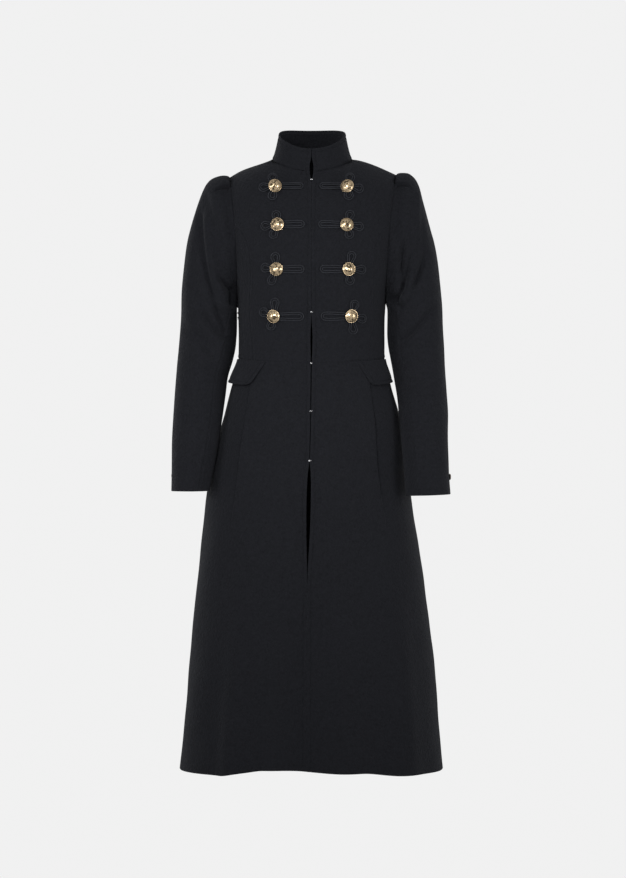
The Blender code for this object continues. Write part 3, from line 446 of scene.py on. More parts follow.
def sleeve_angle(side, s, v):
    """Pieces by s: 0 to 1 the upper sleeve from hind to fore seam, 1 to 2 the under sleeve."""
    hind, fore = sleeve_hind(side, v), sleeve_fore(v)
    upper = hind + (fore - hind) * s
    under = fore + (hind + 2 * math.pi - fore) * (s - 1)
    return np.where(s <= 1, upper, under)


def sleeve(side):
    def surface(s, v):
        return sleeve_ring(side, sleeve_angle(side, s, v), v)

    return surface


def tuck(angle, v):
    """Height of the fold across the sleeve head, above its lower edge and below it."""
    off = np.abs(np.degrees(angle)) - TUCK_ANGLE
    reach = np.maximum(0.0, 1 - (v / TUCK_REACH) ** 2)
    rise = TUCK_RISE * gauss(np.minimum(off, 0), TUCK_ABOVE)
    fall = TUCK_FALL * gauss(np.maximum(off, 0), TUCK_BELOW)
    pinch = TUCK_PINCH * gauss(off - 1.1, 1.0) * smooth(v / 0.5)
    return (rise + (fall - rise) * smooth((off + 0.7) / 1.6) + pinch) * reach


def crease(side, angle, v):
    """Height of the large folds of a sleeve, by ring and direction."""
    rows = CREASES[side]
    place = np.stack(np.broadcast_arrays(v, np.degrees(angle)), axis=-1) * CREASE_SCALE
    total = 0.0
    for i in range(len(rows["v0"])):
        a = np.array([rows["v0"][i], rows["a0"][i]]) * CREASE_SCALE
        b = np.array([rows["v1"][i], rows["a1"][i]]) * CREASE_SCALE
        along = np.clip((place - a) @ (b - a) / np.dot(b - a, b - a), 0, 1)
        off = np.linalg.norm(place - a - along[..., None] * (b - a), axis=-1)
        fade = 0.35 + 0.65 * np.sin(math.pi * (0.15 + 0.7 * along))
        total = total + rows["height"][i] * fade * gauss(off, rows["width"][i])
    return total


def sleeve_height(side):
    def height(s, v):
        angle = sleeve_angle(side, s, v)
        wrapped = (angle + math.pi) % (2 * math.pi) - math.pi
        return tuck(wrapped, v) + crease(side, angle % (2 * math.pi), v)

    return height


def trunk_angle(s, middle):
    """Direction for s: 0 centre front, 1 front seam or fold, 2 side, 3 back seam, 4 centre back."""
    front, side = middle * s, middle + (math.pi / 2 - middle) * (s - 1)
    behind = math.pi / 2 + math.radians(BACK_SEAM - 90) * (s - 2)
    back = math.radians(BACK_SEAM) + math.radians(180 - BACK_SEAM) * (s - 3)
    return np.select([s <= 1, s <= 2, s <= 3], [front, side, behind], back)


def open_front(side, point, s):
    """Moves the columns by the centre front line apart, and sideways with the line."""
    fade = np.clip(1 - s / 0.5, 0, 1)
    shift = read(FRONT_EDGE, "z", "shift", point[..., 2])
    half = read(FRONT_EDGE, "z", "half", point[..., 2]) - FRONT_CLOSER
    point[..., 0] += fade * (shift + side * half)
    return point


def trunk_point(side, angle, z, out=0.0):
    r = radius(z, side * angle) + out
    return xyz(side * r * np.sin(angle), -r * np.cos(angle), z)


def bodice_top(side, s):
    """Upper edge of the bodice and the direction in which the cloth arrives there."""
    back = s > 2
    turn, sign = np.where(back, 4 - s, s), np.where(back, -1.0, 1.0)
    hps, tip = neck(side * math.pi / 2), sleeve_ring(side, 0.0, 0.0)
    share = np.clip(turn / NECK_END, 0, 1)
    angle = share * math.pi / 2
    points = [neck(side * np.where(back, math.pi - angle, angle))]
    leans = [xyz(0.10 * side * share, 0, 0.95 - 0.65 * share)]
    share = np.clip((turn - NECK_END) / (TIP_START - NECK_END), 0, 1)
    shoulder = hps + (tip - hps) * share[..., None]
    shoulder[..., 2] += SHOULDER_RISE[side] * np.sin(math.pi * share ** SHOULDER_PEAK[side])
    points.append(shoulder)
    leans.append(xyz((0.10 + 0.10 * share) * side, 0, 0.30))
    share = np.clip((turn - TIP_START) / (1 - TIP_START), 0, 1)
    points.append(sleeve_ring(side, sign * ARMHOLE_SEAM * share, 0.0))
    leans.append(xyz((0.20 + 0.60 * share) * side, 0, 0.30 + 0.20 * share))
    share = np.clip(turn - 1, 0, 1)
    angle = ARMHOLE_SEAM + (math.pi - ARMHOLE_SEAM) * share
    points.append(sleeve_ring(side, sign * angle, 0.0))
    leans.append(xyz(0.8 * side * (1 - share) ** 2, 0, 0.5 + 0.5 * share))
    where = [(turn <= NECK_END)[..., None], (turn <= TIP_START)[..., None], (turn <= 1)[..., None]]
    return np.select(where, points[:3], points[3]), np.select(where, leans[:3], leans[3])


def shoulder_line(side, x):
    """Height of the shoulder at a distance from the middle."""
    hps, tip = neck(side * math.pi / 2), sleeve_ring(side, 0.0, 0.0)
    share = (x - abs(hps[0])) / (abs(tip[0]) - abs(hps[0]))
    rise = SHOULDER_RISE[side] * np.sin(math.pi * np.clip(share, 0, 1) ** SHOULDER_PEAK[side])
    return hps[2] + (tip[2] - hps[2]) * share + rise


def depth_at(x, z, back):
    """How far the chest or back stands from the middle plane, below the rounding."""
    wide = read(UPPER, "z", "wide", z)
    deep = np.where(back, read(UPPER, "z", "back", z), read(UPPER, "z", "front", z))
    return deep * np.maximum(0.0, 1 - (np.abs(x) / wide) ** SQUARE) ** (1 / SQUARE)


def rounded(drop, power):
    """Share of the full depth at a drop below the upper edge, in lengths of the rounding."""
    return np.copysign(np.maximum(0.0, 1 - np.maximum(0.0, 1 - np.abs(drop)) ** 2) ** power, drop)


def stand_out(side, turn, point, top, back, t):
    """Depth of bodice points below the edge point of their column, rounded over neck and shoulder."""
    soft = np.maximum(0.0, 1 - (turn / NECK_END) ** 2) ** 2
    sign = np.where(back, 1.0, -1.0)
    full = sign * depth_at(point[..., 0], point[..., 2], back)
    drop = (top[..., 2] - point[..., 2]) / (SHOULDER_ROUND + (NECK_ROUND - SHOULDER_ROUND) * soft)
    near = top[..., 1] + (full - top[..., 1]) * rounded(drop, 0.5 + 0.5 * soft)
    edge = sign * depth_at(top[..., 0], top[..., 2], back)
    edge = edge * rounded((shoulder_line(side, np.abs(top[..., 0])) - top[..., 2]) / SHOULDER_ROUND, 0.5)
    far = full * rounded((shoulder_line(side, np.abs(point[..., 0])) - point[..., 2]) / SHOULDER_ROUND, 0.5)
    far = far + (top[..., 1] - edge) * np.maximum(t, 0.0) ** 4
    return near + (far - near) * smooth((turn - NECK_END) / (TIP_START - NECK_END))


def bodice(side):
    """The bodice by s round it and v up it: 0 waist, 1 chest, 2 its upper edge."""

    def low(s, z):
        seam = angle_at(z, side, read(SEAM_X, "z", "x", z))
        return trunk_point(side, trunk_angle(s, seam), z)

    def surface(s, v):
        s, v = np.broadcast_arrays(s, v)
        flat = np.zeros(s.shape)
        foot = low(s, flat + WAIST_SIDE_Z)
        start = waist_z(np.arctan2(np.abs(foot[..., 0]), -foot[..., 1]))
        below = low(s, start + (CHEST_Z - start) * np.minimum(v, 1))
        a, (b, lean) = low(s, flat + CHEST_Z), bodice_top(side, s)
        rise = unit(a - low(s, flat + CHEST_Z - 0.02))
        reach = np.linalg.norm(b - a, axis=-1)[..., None]
        t = np.clip(v - 1, 0, 1)[..., None]
        point = (2 * t**3 - 3 * t**2 + 1) * a + (3 * t**2 - 2 * t**3) * b
        point = point + (t**3 - 2 * t**2 + t) * reach * rise + (t**3 - t**2) * reach * lean
        t = t[..., 0]
        back, turn = s > 2, np.minimum(s, 4 - s)
        low_error = a[..., 1] - stand_out(side, turn, a, b, back, flat)
        point[..., 1] = stand_out(side, turn, point, b, back, t) + low_error * (1 - t) ** 3
        return open_front(side, np.where((v <= 1)[..., None], below, point), s)

    return surface


def flute(angle, z):
    """How far the flutes of the skirt stand out, by direction and level."""
    total = 0.0
    for i in range(len(FLUTES["angle"])):
        off = (np.degrees(angle) - FLUTES["angle"][i] + 180) % 360 - 180
        start = FLUTES["start"][i]
        ramp = smooth((start - z) / (start - HEM_Z))
        total = total + FLUTES["height"][i] * gauss(off, FLUTES["width"][i]) * ramp
    return total


def skirt(side):
    """The skirt by s round it, as the bodice, and v down it from 0 at the waist to 1 at the hem."""

    def surface(s, v):
        s, v = np.broadcast_arrays(s, v)
        fold = angle_at(WAIST_SIDE_Z, side, read(FOLD_X[side], "z", "x", WAIST_SIDE_Z))
        angle = trunk_angle(s, fold)
        z = waist_z(angle) + (hem_z(side, angle) - waist_z(angle)) * v
        level = np.maximum(z, -0.70)
        angle = trunk_angle(s, angle_at(level, side, read(FOLD_X[side], "z", "x", level)))
        point = trunk_point(side, angle, z)
        out = xyz(side * np.sin(angle), -np.cos(angle), 0.0)
        return open_front(side, point + out * flute(side * angle, z)[..., None], s)

    return surface


def flap(side):
    """The pocket flap by s along it and v down it, on the skirt and standing off it."""
    first, last = (math.radians(end) for end in FLAP_ENDS)

    def surface(s, v):
        curl = FLAP_CURL * np.maximum(0.0, (v - 0.8) / 0.2) ** 2 * np.maximum(0.0, 1 - s / 0.12) ** 2
        corner = 4 * curl * math.radians(8)
        angle = first + (last - first) * s + math.radians(FLAP_SLANT) * v * (1 - s) + corner
        z = waist_z(angle) - FLAP_GAP - (FLAP_DROP - FLAP_LESS * s) * (v - curl)
        bulge = FLAP_BULGE * np.sin(math.pi * v)
        off = FLAP_TOP + (FLAP_LOW[side] - FLAP_TOP) * np.maximum(v, 0) ** 1.3 + bulge
        return trunk_point(side, angle, z, off)

    return surface


def collar(s, v):
    angle = np.asarray(s * 2 * math.pi)
    low, high = neck(angle), neck(angle, COLLAR_RING)
    v = np.asarray(v)[..., None] if np.ndim(v) else v
    point = low + (high - low) * v
    bulge = COLLAR_BULGE * np.sin(math.pi * (v[..., 0] if np.ndim(v) else v))
    point[..., 0] += bulge * np.sin(angle)
    point[..., 1] -= bulge * np.cos(angle)
    half = read(FRONT_EDGE, "z", "half", point[..., 2])
    near = np.minimum(s, 1 - s)
    point[..., 0] += half * np.maximum(0, 1 - near * 24) * np.where(s < 0.5, 1, -1)
    return point


# Small folds, one per row: ends in x and z, sideways bow, height (below zero a trough), width.
# They lie on the side of the cloth that faces the way they are listed under.
FOLDS = {
    "front": table(
        "x0 z0 x1 z1 bow height width",
        [
            (-0.226, -0.100, -0.170, -0.335, 0.010, -0.0036, 0.0052),
            (-0.208, -0.110, -0.160, -0.300, 0.008, 0.0022, 0.010),
            (-0.206, -0.060, -0.186, -0.180, 0.004, -0.0018, 0.010),
            (-0.172, -0.060, -0.158, -0.150, -0.002, -0.0018, 0.008),
            (-0.190, -0.215, -0.152, -0.255, 0.004, -0.0036, 0.006),
            (-0.205, -0.262, -0.156, -0.290, 0.005, 0.0026, 0.008),
            (-0.215, -0.300, -0.165, -0.350, 0.004, -0.0030, 0.006),
            (-0.255, -0.330, -0.200, -0.372, -0.004, -0.0026, 0.010),
            (-0.152, -0.250, -0.162, -0.285, 0.000, -0.0032, 0.006),
            (0.210, -0.060, 0.214, -0.160, 0.003, 0.0022, 0.006),
            (0.182, -0.165, 0.178, -0.250, 0.002, -0.0040, 0.005),
            (0.228, -0.180, 0.202, -0.250, -0.004, -0.0036, 0.005),
            (0.196, -0.190, 0.166, -0.275, -0.004, -0.0036, 0.005),
            (0.205, -0.250, 0.158, -0.285, -0.003, 0.0026, 0.008),
            (0.240, -0.290, 0.176, -0.350, -0.006, -0.0032, 0.006),
            (0.176, -0.060, 0.166, -0.150, 0.002, -0.0020, 0.008),
            (0.158, -0.262, 0.178, -0.286, 0.000, -0.0036, 0.005),
        ],
    ),
    "back": table(
        "x0 z0 x1 z1 bow height width",
        [
            (-0.225, -0.110, -0.168, -0.270, 0.008, -0.0020, 0.011),
            (-0.205, -0.235, -0.160, -0.275, 0.004, -0.0018, 0.009),
            (-0.235, -0.290, -0.172, -0.330, 0.005, 0.0016, 0.010),
            (-0.248, -0.345, -0.190, -0.385, 0.003, -0.0022, 0.012),
            (0.222, -0.120, 0.170, -0.265, -0.007, -0.0020, 0.011),
            (0.210, -0.225, 0.160, -0.268, -0.004, -0.0016, 0.009),
            (0.232, -0.300, 0.176, -0.345, -0.004, 0.0014, 0.010),
            (0.246, -0.352, 0.188, -0.395, -0.004, -0.0020, 0.012),
            (-0.120, -0.330, -0.030, -0.372, 0.004, 0.0008, 0.010),
            (0.130, -0.322, 0.045, -0.368, -0.004, 0.0007, 0.011),
        ],
    ),
}

# Slow waves of the cloth: direction of each in x, y and z (waves in a metre) and height
WAVES = table(
    "x y z start height",
    [
        (9.0, 4.0, 3.0, 0.3, 0.00035),
        (-6.0, 8.0, 4.5, 1.7, 0.00030),
        (14.0, -5.0, 7.0, 4.1, 0.00018),
        (5.0, 11.0, -12.0, 2.2, 0.00016),
        (-19.0, 9.0, 10.0, 5.0, 0.00010),
    ],
)

# Every small fold is this many times as high as its row says
FOLD_DEPTH = 3.0


def small_folds(points, normals):
    """Height of the listed folds, on the side that each is listed under."""
    total = np.zeros(points.shape[:-1])
    for way, sign in (("front", -1), ("back", 1)):
        rows = FOLDS[way]
        weight = smooth(sign * normals[..., 1] * 1.8)
        place = points[..., [0, 2]]
        for i in range(len(rows["x0"])):
            a = np.array([rows["x0"][i], rows["z0"][i]])
            d = np.array([rows["x1"][i], rows["z1"][i]]) - a
            along = np.clip((place - a) @ d / np.dot(d, d), 0, 1)
            across = np.array([d[1], -d[0]]) / np.linalg.norm(d)
            bow = rows["bow"][i] * 4 * along * (1 - along)
            off = place - a - along[..., None] * d - bow[..., None] * across
            fade = 0.30 + 0.70 * np.sin(math.pi * (0.10 + 0.75 * along))
            near = gauss(np.linalg.norm(off, axis=-1), rows["width"][i])
            total += weight * rows["height"][i] * FOLD_DEPTH * fade * near
    return total


def slow_waves(points):
    total = 0.0
    for i in range(len(WAVES["x"])):
        way = np.array([WAVES[n][i] for n in "xyz"])
        total = total + WAVES["height"][i] * np.sin(2 * math.pi * points @ way + WAVES["start"][i])
    return total


# How the columns or rows of a cloth piece stand by each kind of edge, in metres from it
EDGE_STEPS = {
    "seam": (0, 0.0007, 0.0015, 0.0025, 0.004, 0.006, 0.009),
    "free": (
        0, 0.00012, 0.0004, 0.0008, 0.00135, 0.0025, 0.0045, 0.0064, 0.0071, 0.0076, 0.0081, 0.0088, 0.011,
    ),
    "plain": (0, 0.00012, 0.0004, 0.0008, 0.00135, 0.003),
    "fold": (0, 0.0004, 0.0010, 0.0018, 0.0030, 0.005),
}
EDGE_STEPS["joint"] = EDGE_STEPS["seam"]
# How far the cloth swells beside a seam, and how far from it
SEAM_PUFF, SEAM_REACH = 0.0009, 0.0040
# The groove that the stitching pulls in along a free edge, and the roll of cloth outside it
STITCH_INSET, GROOVE_DEPTH, GROOVE_WIDTH = 0.0076, 0.0010, 0.0011
ROLL_INSET, ROLL_HEIGHT, ROLL_WIDTH = 0.004, 0.00025, 0.0025
# How far from a joint the folds fade out, and how far from an edge the nap is worn
JOINT_FADE = 0.005
WORN_REACH = 0.0016
# Usual distance between the columns and rows of a piece, and the finer and coarser ones
STEP, FINE_STEP, BACK_STEP, SKIRT_STEP = 0.0045, 0.004, 0.005, 0.006
# The small step in s and v by which a direction is taken
SLIGHT = 0.003
# Above this v the columns of the bodice fronts and back are spread, in this many rounds
SPREAD_FROM = 1.15
EVEN_ROUNDS = 900
# Number of points by which lengths down and round a piece are measured
ROW_POINTS, COLUMN_POINTS = 241, 181


def run(points):
    """Lengths along the last line of points, from its start."""
    steps = np.linalg.norm(np.diff(points, axis=-2), axis=-1)
    return np.concatenate([np.zeros(steps.shape[:-1] + (1,)), np.cumsum(steps, axis=-1)], axis=-1)


def spacing(total, first, last, step):
    """Distances from the first end, a row for each length: close together at both ends."""
    first, last = np.array(EDGE_STEPS[first]), np.array(EDGE_STEPS[last])
    room = total[:, None] - first[-1] - last[-1]
    count = max(2, int(np.mean(room) / step))
    even = first[-1] + room * np.linspace(0, 1, count + 1)[None, 1:-1]
    near, far = np.tile(first, (len(total), 1)), total[:, None] - last[::-1][None, :]
    return np.hstack([near, even, far])


def lay_rows(surface, s, breaks, kinds, step):
    """Values of v down a piece, on its line s, spaced as its edges need."""
    found = []
    for a, b, first, last in zip(breaks, breaks[1:], kinds, kinds[1:]):
        fine = np.linspace(a, b, ROW_POINTS)
        along = run(surface(np.full(len(fine), s), fine))
        found += list(np.interp(spacing(along[-1:], first, last, step)[0], along, fine))[:-1]
    return np.array(found + [breaks[-1]])


def lay_columns(surface, v, breaks, kinds, step):
    """Values of s round a piece, a row for each v, spaced as its edges need."""
    parts = []
    for a, b, first, last in zip(breaks, breaks[1:], kinds, kinds[1:]):
        fine = np.linspace(a, b, COLUMN_POINTS)
        along = run(surface(fine[None, :], v[:, None]))
        wanted = spacing(along[:, -1], first, last, step)
        rows = np.array([np.interp(w, length, fine) for w, length in zip(wanted, along)])
        parts.append(rows if b == breaks[-1] else rows[:, :-1])
    return np.hstack(parts)


def edge_height(kind, d):
    """Height of the cloth at a distance from an edge."""
    if kind in ("seam", "joint"):
        return SEAM_PUFF * (d / SEAM_REACH) ** 2 * np.exp(1 - (d / SEAM_REACH) ** 2)
    if kind == "free":
        groove = -GROOVE_DEPTH * gauss(d - STITCH_INSET, GROOVE_WIDTH)
        return groove + ROLL_HEIGHT * gauss(d - ROLL_INSET, ROLL_WIDTH)
    return 0.0 * d


def shell(name, outer, inner, facing_out, material):
    """A closed wall between two grids of points."""
    rows, columns = outer.shape[:2]
    count = rows * columns
    index = np.arange(count).reshape(rows, columns)
    a, b, c, d = index[:-1, :-1], index[:-1, 1:], index[1:, 1:], index[1:, :-1]
    front = np.stack([a, b, c, d], axis=-1).reshape(-1, 4)
    rim = np.concatenate([index[0, :-1], index[:-1, -1], index[-1, :0:-1], index[:0:-1, 0]])
    after = np.roll(rim, -1)
    side = np.stack([after, rim, rim + count, after + count], axis=-1)
    faces = np.concatenate([front, front[:, ::-1] + count, side])
    if not facing_out:
        faces = faces[:, ::-1]
    points = np.concatenate([outer.reshape(-1, 3), inner.reshape(-1, 3)])
    return add_mesh(name, points, faces, material)


def add_mesh(name, points, faces, material, smooth_shade=True):
    mesh = bpy.data.meshes.new(name)
    mesh.from_pydata([tuple(p) for p in points], [], [tuple(int(i) for i in face) for face in faces])
    mesh.materials.append(material)
    if smooth_shade:
        mesh.shade_smooth()
    mesh.update()
    made = bpy.data.objects.new(name, mesh)
    bpy.context.scene.collection.objects.link(made)
    return made


def directions(surface, s, v, points, centre):
    """Directions out of the cloth, taken across its seams, and whether the grid faces out."""
    across = surface(s + SLIGHT, v) - surface(s - SLIGHT, v)
    along = surface(s, v + SLIGHT) - surface(s, v - SLIGHT)
    normals = unit(np.cross(across, along))
    normals[s == 0] = unit(normals[s == 0] * (0, 1, 1))
    facing_out = np.sum(normals * (points - centre(points))) > 0
    return (normals if facing_out else -normals), facing_out


def chest_depth(way, points):
    """Depth of the chest (way -1) or the back (way 1) at the x and z of each point."""
    x, z = points[..., 0], points[..., 2]
    line = np.where(x > 0, shoulder_line(1, np.abs(x)), shoulder_line(-1, np.abs(x)))
    return way * depth_at(x, z, way > 0) * rounded((line - z) / SHOULDER_ROUND, 0.5)


def even_out(way, points, first_row):
    """Spreads the columns of a bodice piece in x and z, on the same form, so that they don't crowd."""
    extra = points[first_row:, :, 1] - chest_depth(way, points[first_row:])
    grid = points[first_row:, :, [0, 2]]
    columns = np.linalg.norm(np.diff(grid, axis=1), axis=-1)[1:-1, :, None] + 1e-5
    rows = np.linalg.norm(np.diff(grid, axis=0), axis=-1)[:, 1:-1, None] + 1e-5
    wide, high = columns[:, 1:] + columns[:, :-1], rows[1:] + rows[:-1]
    for _ in range(EVEN_ROUNDS):
        across = (grid[1:-1, :-2] * columns[:, 1:] + grid[1:-1, 2:] * columns[:, :-1]) / wide
        along = (grid[:-2, 1:-1] * rows[1:] + grid[2:, 1:-1] * rows[:-1]) / high
        grid[1:-1, 1:-1] = (across + along) / 2
    points[first_row:, :, 0], points[first_row:, :, 2] = grid[..., 0], grid[..., 1]
    points[first_row:, :, 1] = chest_depth(way, points[first_row:]) + extra


# Kinds of edges that pieces often have: at both sides, at both ends, and at the ends of one that hangs
SEAMS, JOINTS, HANGING = ("seam", "seam"), ("joint", "joint"), ("joint", "plain")


def sew(
    node, surface, s_breaks, s_kinds, v_breaks, v_kinds, centre,
    step=STEP, height=None, wall=None, spread=None,
):
    """One cloth piece that stands for a CAD node: laid out, folded, edged and given a wall."""
    wall = wall or size("wall")
    v = lay_rows(surface, (s_breaks[0] + s_breaks[-1]) / 2, v_breaks, v_kinds, step)
    s = lay_columns(surface, v, s_breaks, s_kinds, step)
    v = np.repeat(v[:, None], s.shape[1], axis=1)
    base = surface(s, v)
    normals, facing_out = directions(surface, s, v, base, centre)
    if spread:
        even_out(spread, base, int(np.argmax(v[:, 0] > SPREAD_FROM)))
        turned = unit(np.cross(np.gradient(base, axis=1), np.gradient(base, axis=0)))
        turned = turned * np.sign(np.sum(turned * normals, axis=-1).sum())
        normals[1:-1, 1:-1] = turned[1:-1, 1:-1]
    left, bottom = run(base), run(base.swapaxes(0, 1)).T
    right, top = left[:, -1:] - left, bottom[-1:, :] - bottom
    lift = small_folds(base, normals) + slow_waves(base)
    if height:
        lift = lift + height(s, v, base)
    worn = np.zeros(lift.shape)
    thin = np.full(lift.shape, wall / 2)
    edges = list(zip((s_kinds[0], s_kinds[-1], v_kinds[0], v_kinds[-1]), (left, right, bottom, top)))
    for kind, distance in edges:
        if kind == "joint":
            lift = lift * smooth(distance / JOINT_FADE)
    for kind, distance in edges:
        lift = lift + edge_height(kind, distance)
        if kind in ("free", "plain"):
            near = np.clip(distance / (wall / 2), 0, 1)
            thin = np.minimum(thin, wall / 2 * np.sqrt(1 - (1 - near) ** 2))
            worn = np.maximum(worn, gauss(distance, WORN_REACH))
    middle = base + normals * (lift - wall / 2)[..., None]
    thin = np.maximum(thin, wall * 0.03)[..., None]
    outer, inner = middle + normals * thin, middle - normals * thin
    made = shell("cloth_" + node, outer, inner, facing_out, material_of("wool"))
    wear = made.data.attributes.new("worn", "FLOAT", "POINT")
    wear.data.foreach_set("value", np.concatenate([worn.ravel(), worn.ravel()]).astype(np.float32))
    carry(made, "cloth", node)
    return {"object": made, "outer": outer, "normals": normals, "left": left, "right": right, "high": top}


def carry(piece, slot, *nodes):
    """The piece moves with the coat and stands for the nodes; the slot is not used."""
    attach(piece, "root")
    if nodes:
        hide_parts(*nodes)
    return piece


def trunk_centre(points):
    return xyz(0.0, 0.0, np.minimum(points[..., 2], -0.12))


def sleeve_centre(points):
    return np.broadcast_to(points.mean(axis=(0, 1)) * (0.75, 1, 1), points.shape)


# The fold below the flap, in s: width of its soft edge, its own width, and the hollow behind it
FOLD_LIP, FOLD_WIDTH = 0.012, 0.20
HOLLOW_SHARE, HOLLOW_AT, HOLLOW_WIDTH = -0.45, 1.010, 0.014


def fold_height(s, v, points):
    """Height of the unpressed fold below the flap: it ends in a soft edge over the side of the skirt."""
    rise = read(FOLD_HEIGHT, "z", "h", points[..., 2])
    before = np.clip((1 - s) / FOLD_LIP, 0, 1)
    lip = np.sqrt(np.maximum(0, 1 - (1 - before) ** 2))
    behind = HOLLOW_SHARE * rise * gauss(s - HOLLOW_AT, HOLLOW_WIDTH)
    return np.where(s <= 1, rise * gauss(1 - s, FOLD_WIDTH) * (0.15 + 0.85 * lip), behind)


# How far the cloth under each arm swells towards the body, how wide in degrees, and the ring where it ends
UNDERARM = {-1: 0.0016, 1: 0.0042}
UNDERARM_WIDTH = 38
UNDERARM_END = 8.6
# The lap at the cuff's vent: the ring where it starts, its height and its width in s
LAP_START, LAP_HEIGHT, LAP_WIDTH = 18.2, 0.0016, 0.09


def sleeve_folds(side):
    """Folds of a sleeve, its swelling under the arm, and its lap at the cuff's vent."""
    plain = sleeve_height(side)

    def height(s, v, points):
        off = (np.degrees(sleeve_angle(side, s, v)) - 180) / UNDERARM_WIDTH
        swell = UNDERARM[side] * smooth(v / 2.5) * smooth((UNDERARM_END - v) / 2.2) * gauss(off, 1)
        lap = smooth((v - LAP_START) / 0.3) * np.where(s <= 1, LAP_HEIGHT * gauss(s, LAP_WIDTH), 0.0)
        return plain(s, v) + swell + lap

    return height


def make_collar():
    made = sew(
        "collar", collar, (0, 1), ("free", "free"), (0, 1), ("joint", "free"), collar_centre,
        wall=size("collar_wall"), step=FINE_STEP,
    )
    stitched("collar", collar_line(made))


def collar_centre(points):
    return xyz(0.0, -0.005, points[..., 2])


def collar_line(made):
    """The stitched line of the collar or a flap: along one end, its far edge and the other end."""
    left, right, high = made["left"], made["right"], made["high"]
    first = int(np.argmin(np.abs(left[0] - STITCH_INSET)))
    last = int(np.argmin(np.abs(right[0] - STITCH_INSET)))
    row = int(np.argmin(np.abs(high[:, high.shape[1] // 2] - STITCH_INSET)))
    where = [(i, first) for i in range(3, row)] + [(row, j) for j in range(first, last + 1)]
    where += [(i, last) for i in range(row - 1, 2, -1)]
    return lifted(made, where)


def lifted(made, where):
    rows, columns = np.array(where).T
    return made["outer"][rows, columns], made["normals"][rows, columns]


# Pieces that carry others, by side
BODICE, SKIRT, SLEEVES = {}, {}, {}


def make_bodice():
    both = {side: bodice(side) for side in SIDES}
    for side, surface in both.items():
        name = SIDE_NAME[side]
        BODICE[side] = sew(
            "bodice_front_" + name, surface, (0, 1), ("free", "seam"), (0, 2), JOINTS, trunk_centre,
            spread=-1,
        )
        sew("bodice_side_front_" + name, surface, (1, 2), SEAMS, (0, 2), JOINTS, trunk_centre)
        sew("bodice_side_back_" + name, surface, (2, 3), SEAMS, (0, 2), JOINTS, trunk_centre)
    back = across_back(both)
    sew("bodice_back", back, (3, 5), SEAMS, (0, 2), JOINTS, trunk_centre, step=BACK_STEP, spread=1)


def across_back(both):
    """A surface that goes on past the centre back, where s is 4, onto the other side."""

    def surface(s, v):
        s, v = np.broadcast_arrays(s, v)
        near, far = both[1](np.minimum(s, 4), v), both[-1](8 - np.maximum(s, 4), v)
        return np.where((s <= 4)[..., None], near, far)

    return surface


def make_skirt():
    both = {side: skirt(side) for side in SIDES}
    for side, surface in both.items():
        SKIRT[side] = sew(
            "skirt_front_" + SIDE_NAME[side], surface, (0, 1, 2), ("free", "fold", "seam"), (0, 1), HANGING,
            trunk_centre, step=SKIRT_STEP, height=fold_height,
        )
    sew("skirt_back", across_back(both), (3, 5), SEAMS, (0, 1), HANGING, trunk_centre, step=SKIRT_STEP)
    for side, surface in both.items():
        node = "skirt_side_back_" + SIDE_NAME[side]
        sew(node, surface, (2, 3), SEAMS, (0, 1), HANGING, trunk_centre, step=SKIRT_STEP)


def make_sleeves():
    """The upper sleeves, with columns along both sides of the tuck, and the under sleeves."""
    tuck_s = [(TUCK_ANGLE * sign + HIND_SEAM) / (HIND_SEAM + FORE_SEAM) for sign in (-1, 1)]
    kinds, rings = ("seam", "fold", "fold", "seam"), (0, LAST_RING)
    for side in SIDES:
        name, surface, folds = SIDE_NAME[side], sleeve(side), sleeve_folds(side)
        SLEEVES[side] = sew(
            "sleeve_upper_" + name, surface, (0, *tuck_s, 1), kinds, rings, HANGING, sleeve_centre,
            height=folds,
        )
        sew("sleeve_under_" + name, surface, (1, 2), SEAMS, rings, HANGING, sleeve_centre, height=folds)


def make_flaps():
    for side in SIDES:
        node = "pocket_flap_" + SIDE_NAME[side]
        made = sew(
            node, flap(side), (0, 1), ("free", "free"), (0, 1), ("plain", "free"), trunk_centre,
            wall=size("flap_wall"), step=FINE_STEP,
        )
        stitched(node, collar_line(made))


# Stitching: short threads in the groove along an edge. Each is a row of rings: place along it, rise, width
STITCH_SIDES = 6
STITCH_FORM = ((-1.0, 0.0, 0.15), (-0.7, 0.7, 0.8), (0.0, 1.0, 1.0), (0.7, 0.7, 0.8), (1.0, 0.0, 0.15))


def stitched(name, line):
    """A row of stitches along a line of points on the cloth."""
    length, pitch, radius = size("stitch_length"), size("stitch_pitch"), size("thread")
    places, normals = line
    along = run(places)
    points, faces = [], []

    def at(distance, rows):
        return np.array([np.interp(distance, along, rows[:, i]) for i in range(3)])

    for k in range(int(along[-1] / pitch)):
        middle = (k + 0.5) * pitch
        centre, ahead, up = at(middle, places), at(middle + 0.0006, places), unit(at(middle, normals))
        way = unit(ahead - centre)
        side = np.cross(up, way)
        base = len(points)
        for share, rise, wide in STITCH_FORM:
            spine = centre + way * share * length / 2 + up * rise * radius * 1.3
            for turn in range(STITCH_SIDES):
                a = turn * math.pi / (STITCH_SIDES / 2)
                points.append(spine + (side * math.cos(a) + up * math.sin(a)) * radius * wide)
        last = len(points) - STITCH_SIDES
        for ring in range(base, last, STITCH_SIDES):
            for turn in range(STITCH_SIDES):
                a, b = ring + turn, ring + (turn + 1) % STITCH_SIDES
                faces.append((a, b, b + STITCH_SIDES, a + STITCH_SIDES))
        for a in (base, last):
            faces.append((a, a + 1, a + 2, a + 3))
            faces.append((a, a + 3, a + 4, a + 5))
    made = add_mesh("stitches_" + name, points, faces, material_of("thread"))
    carry(made, "cord")


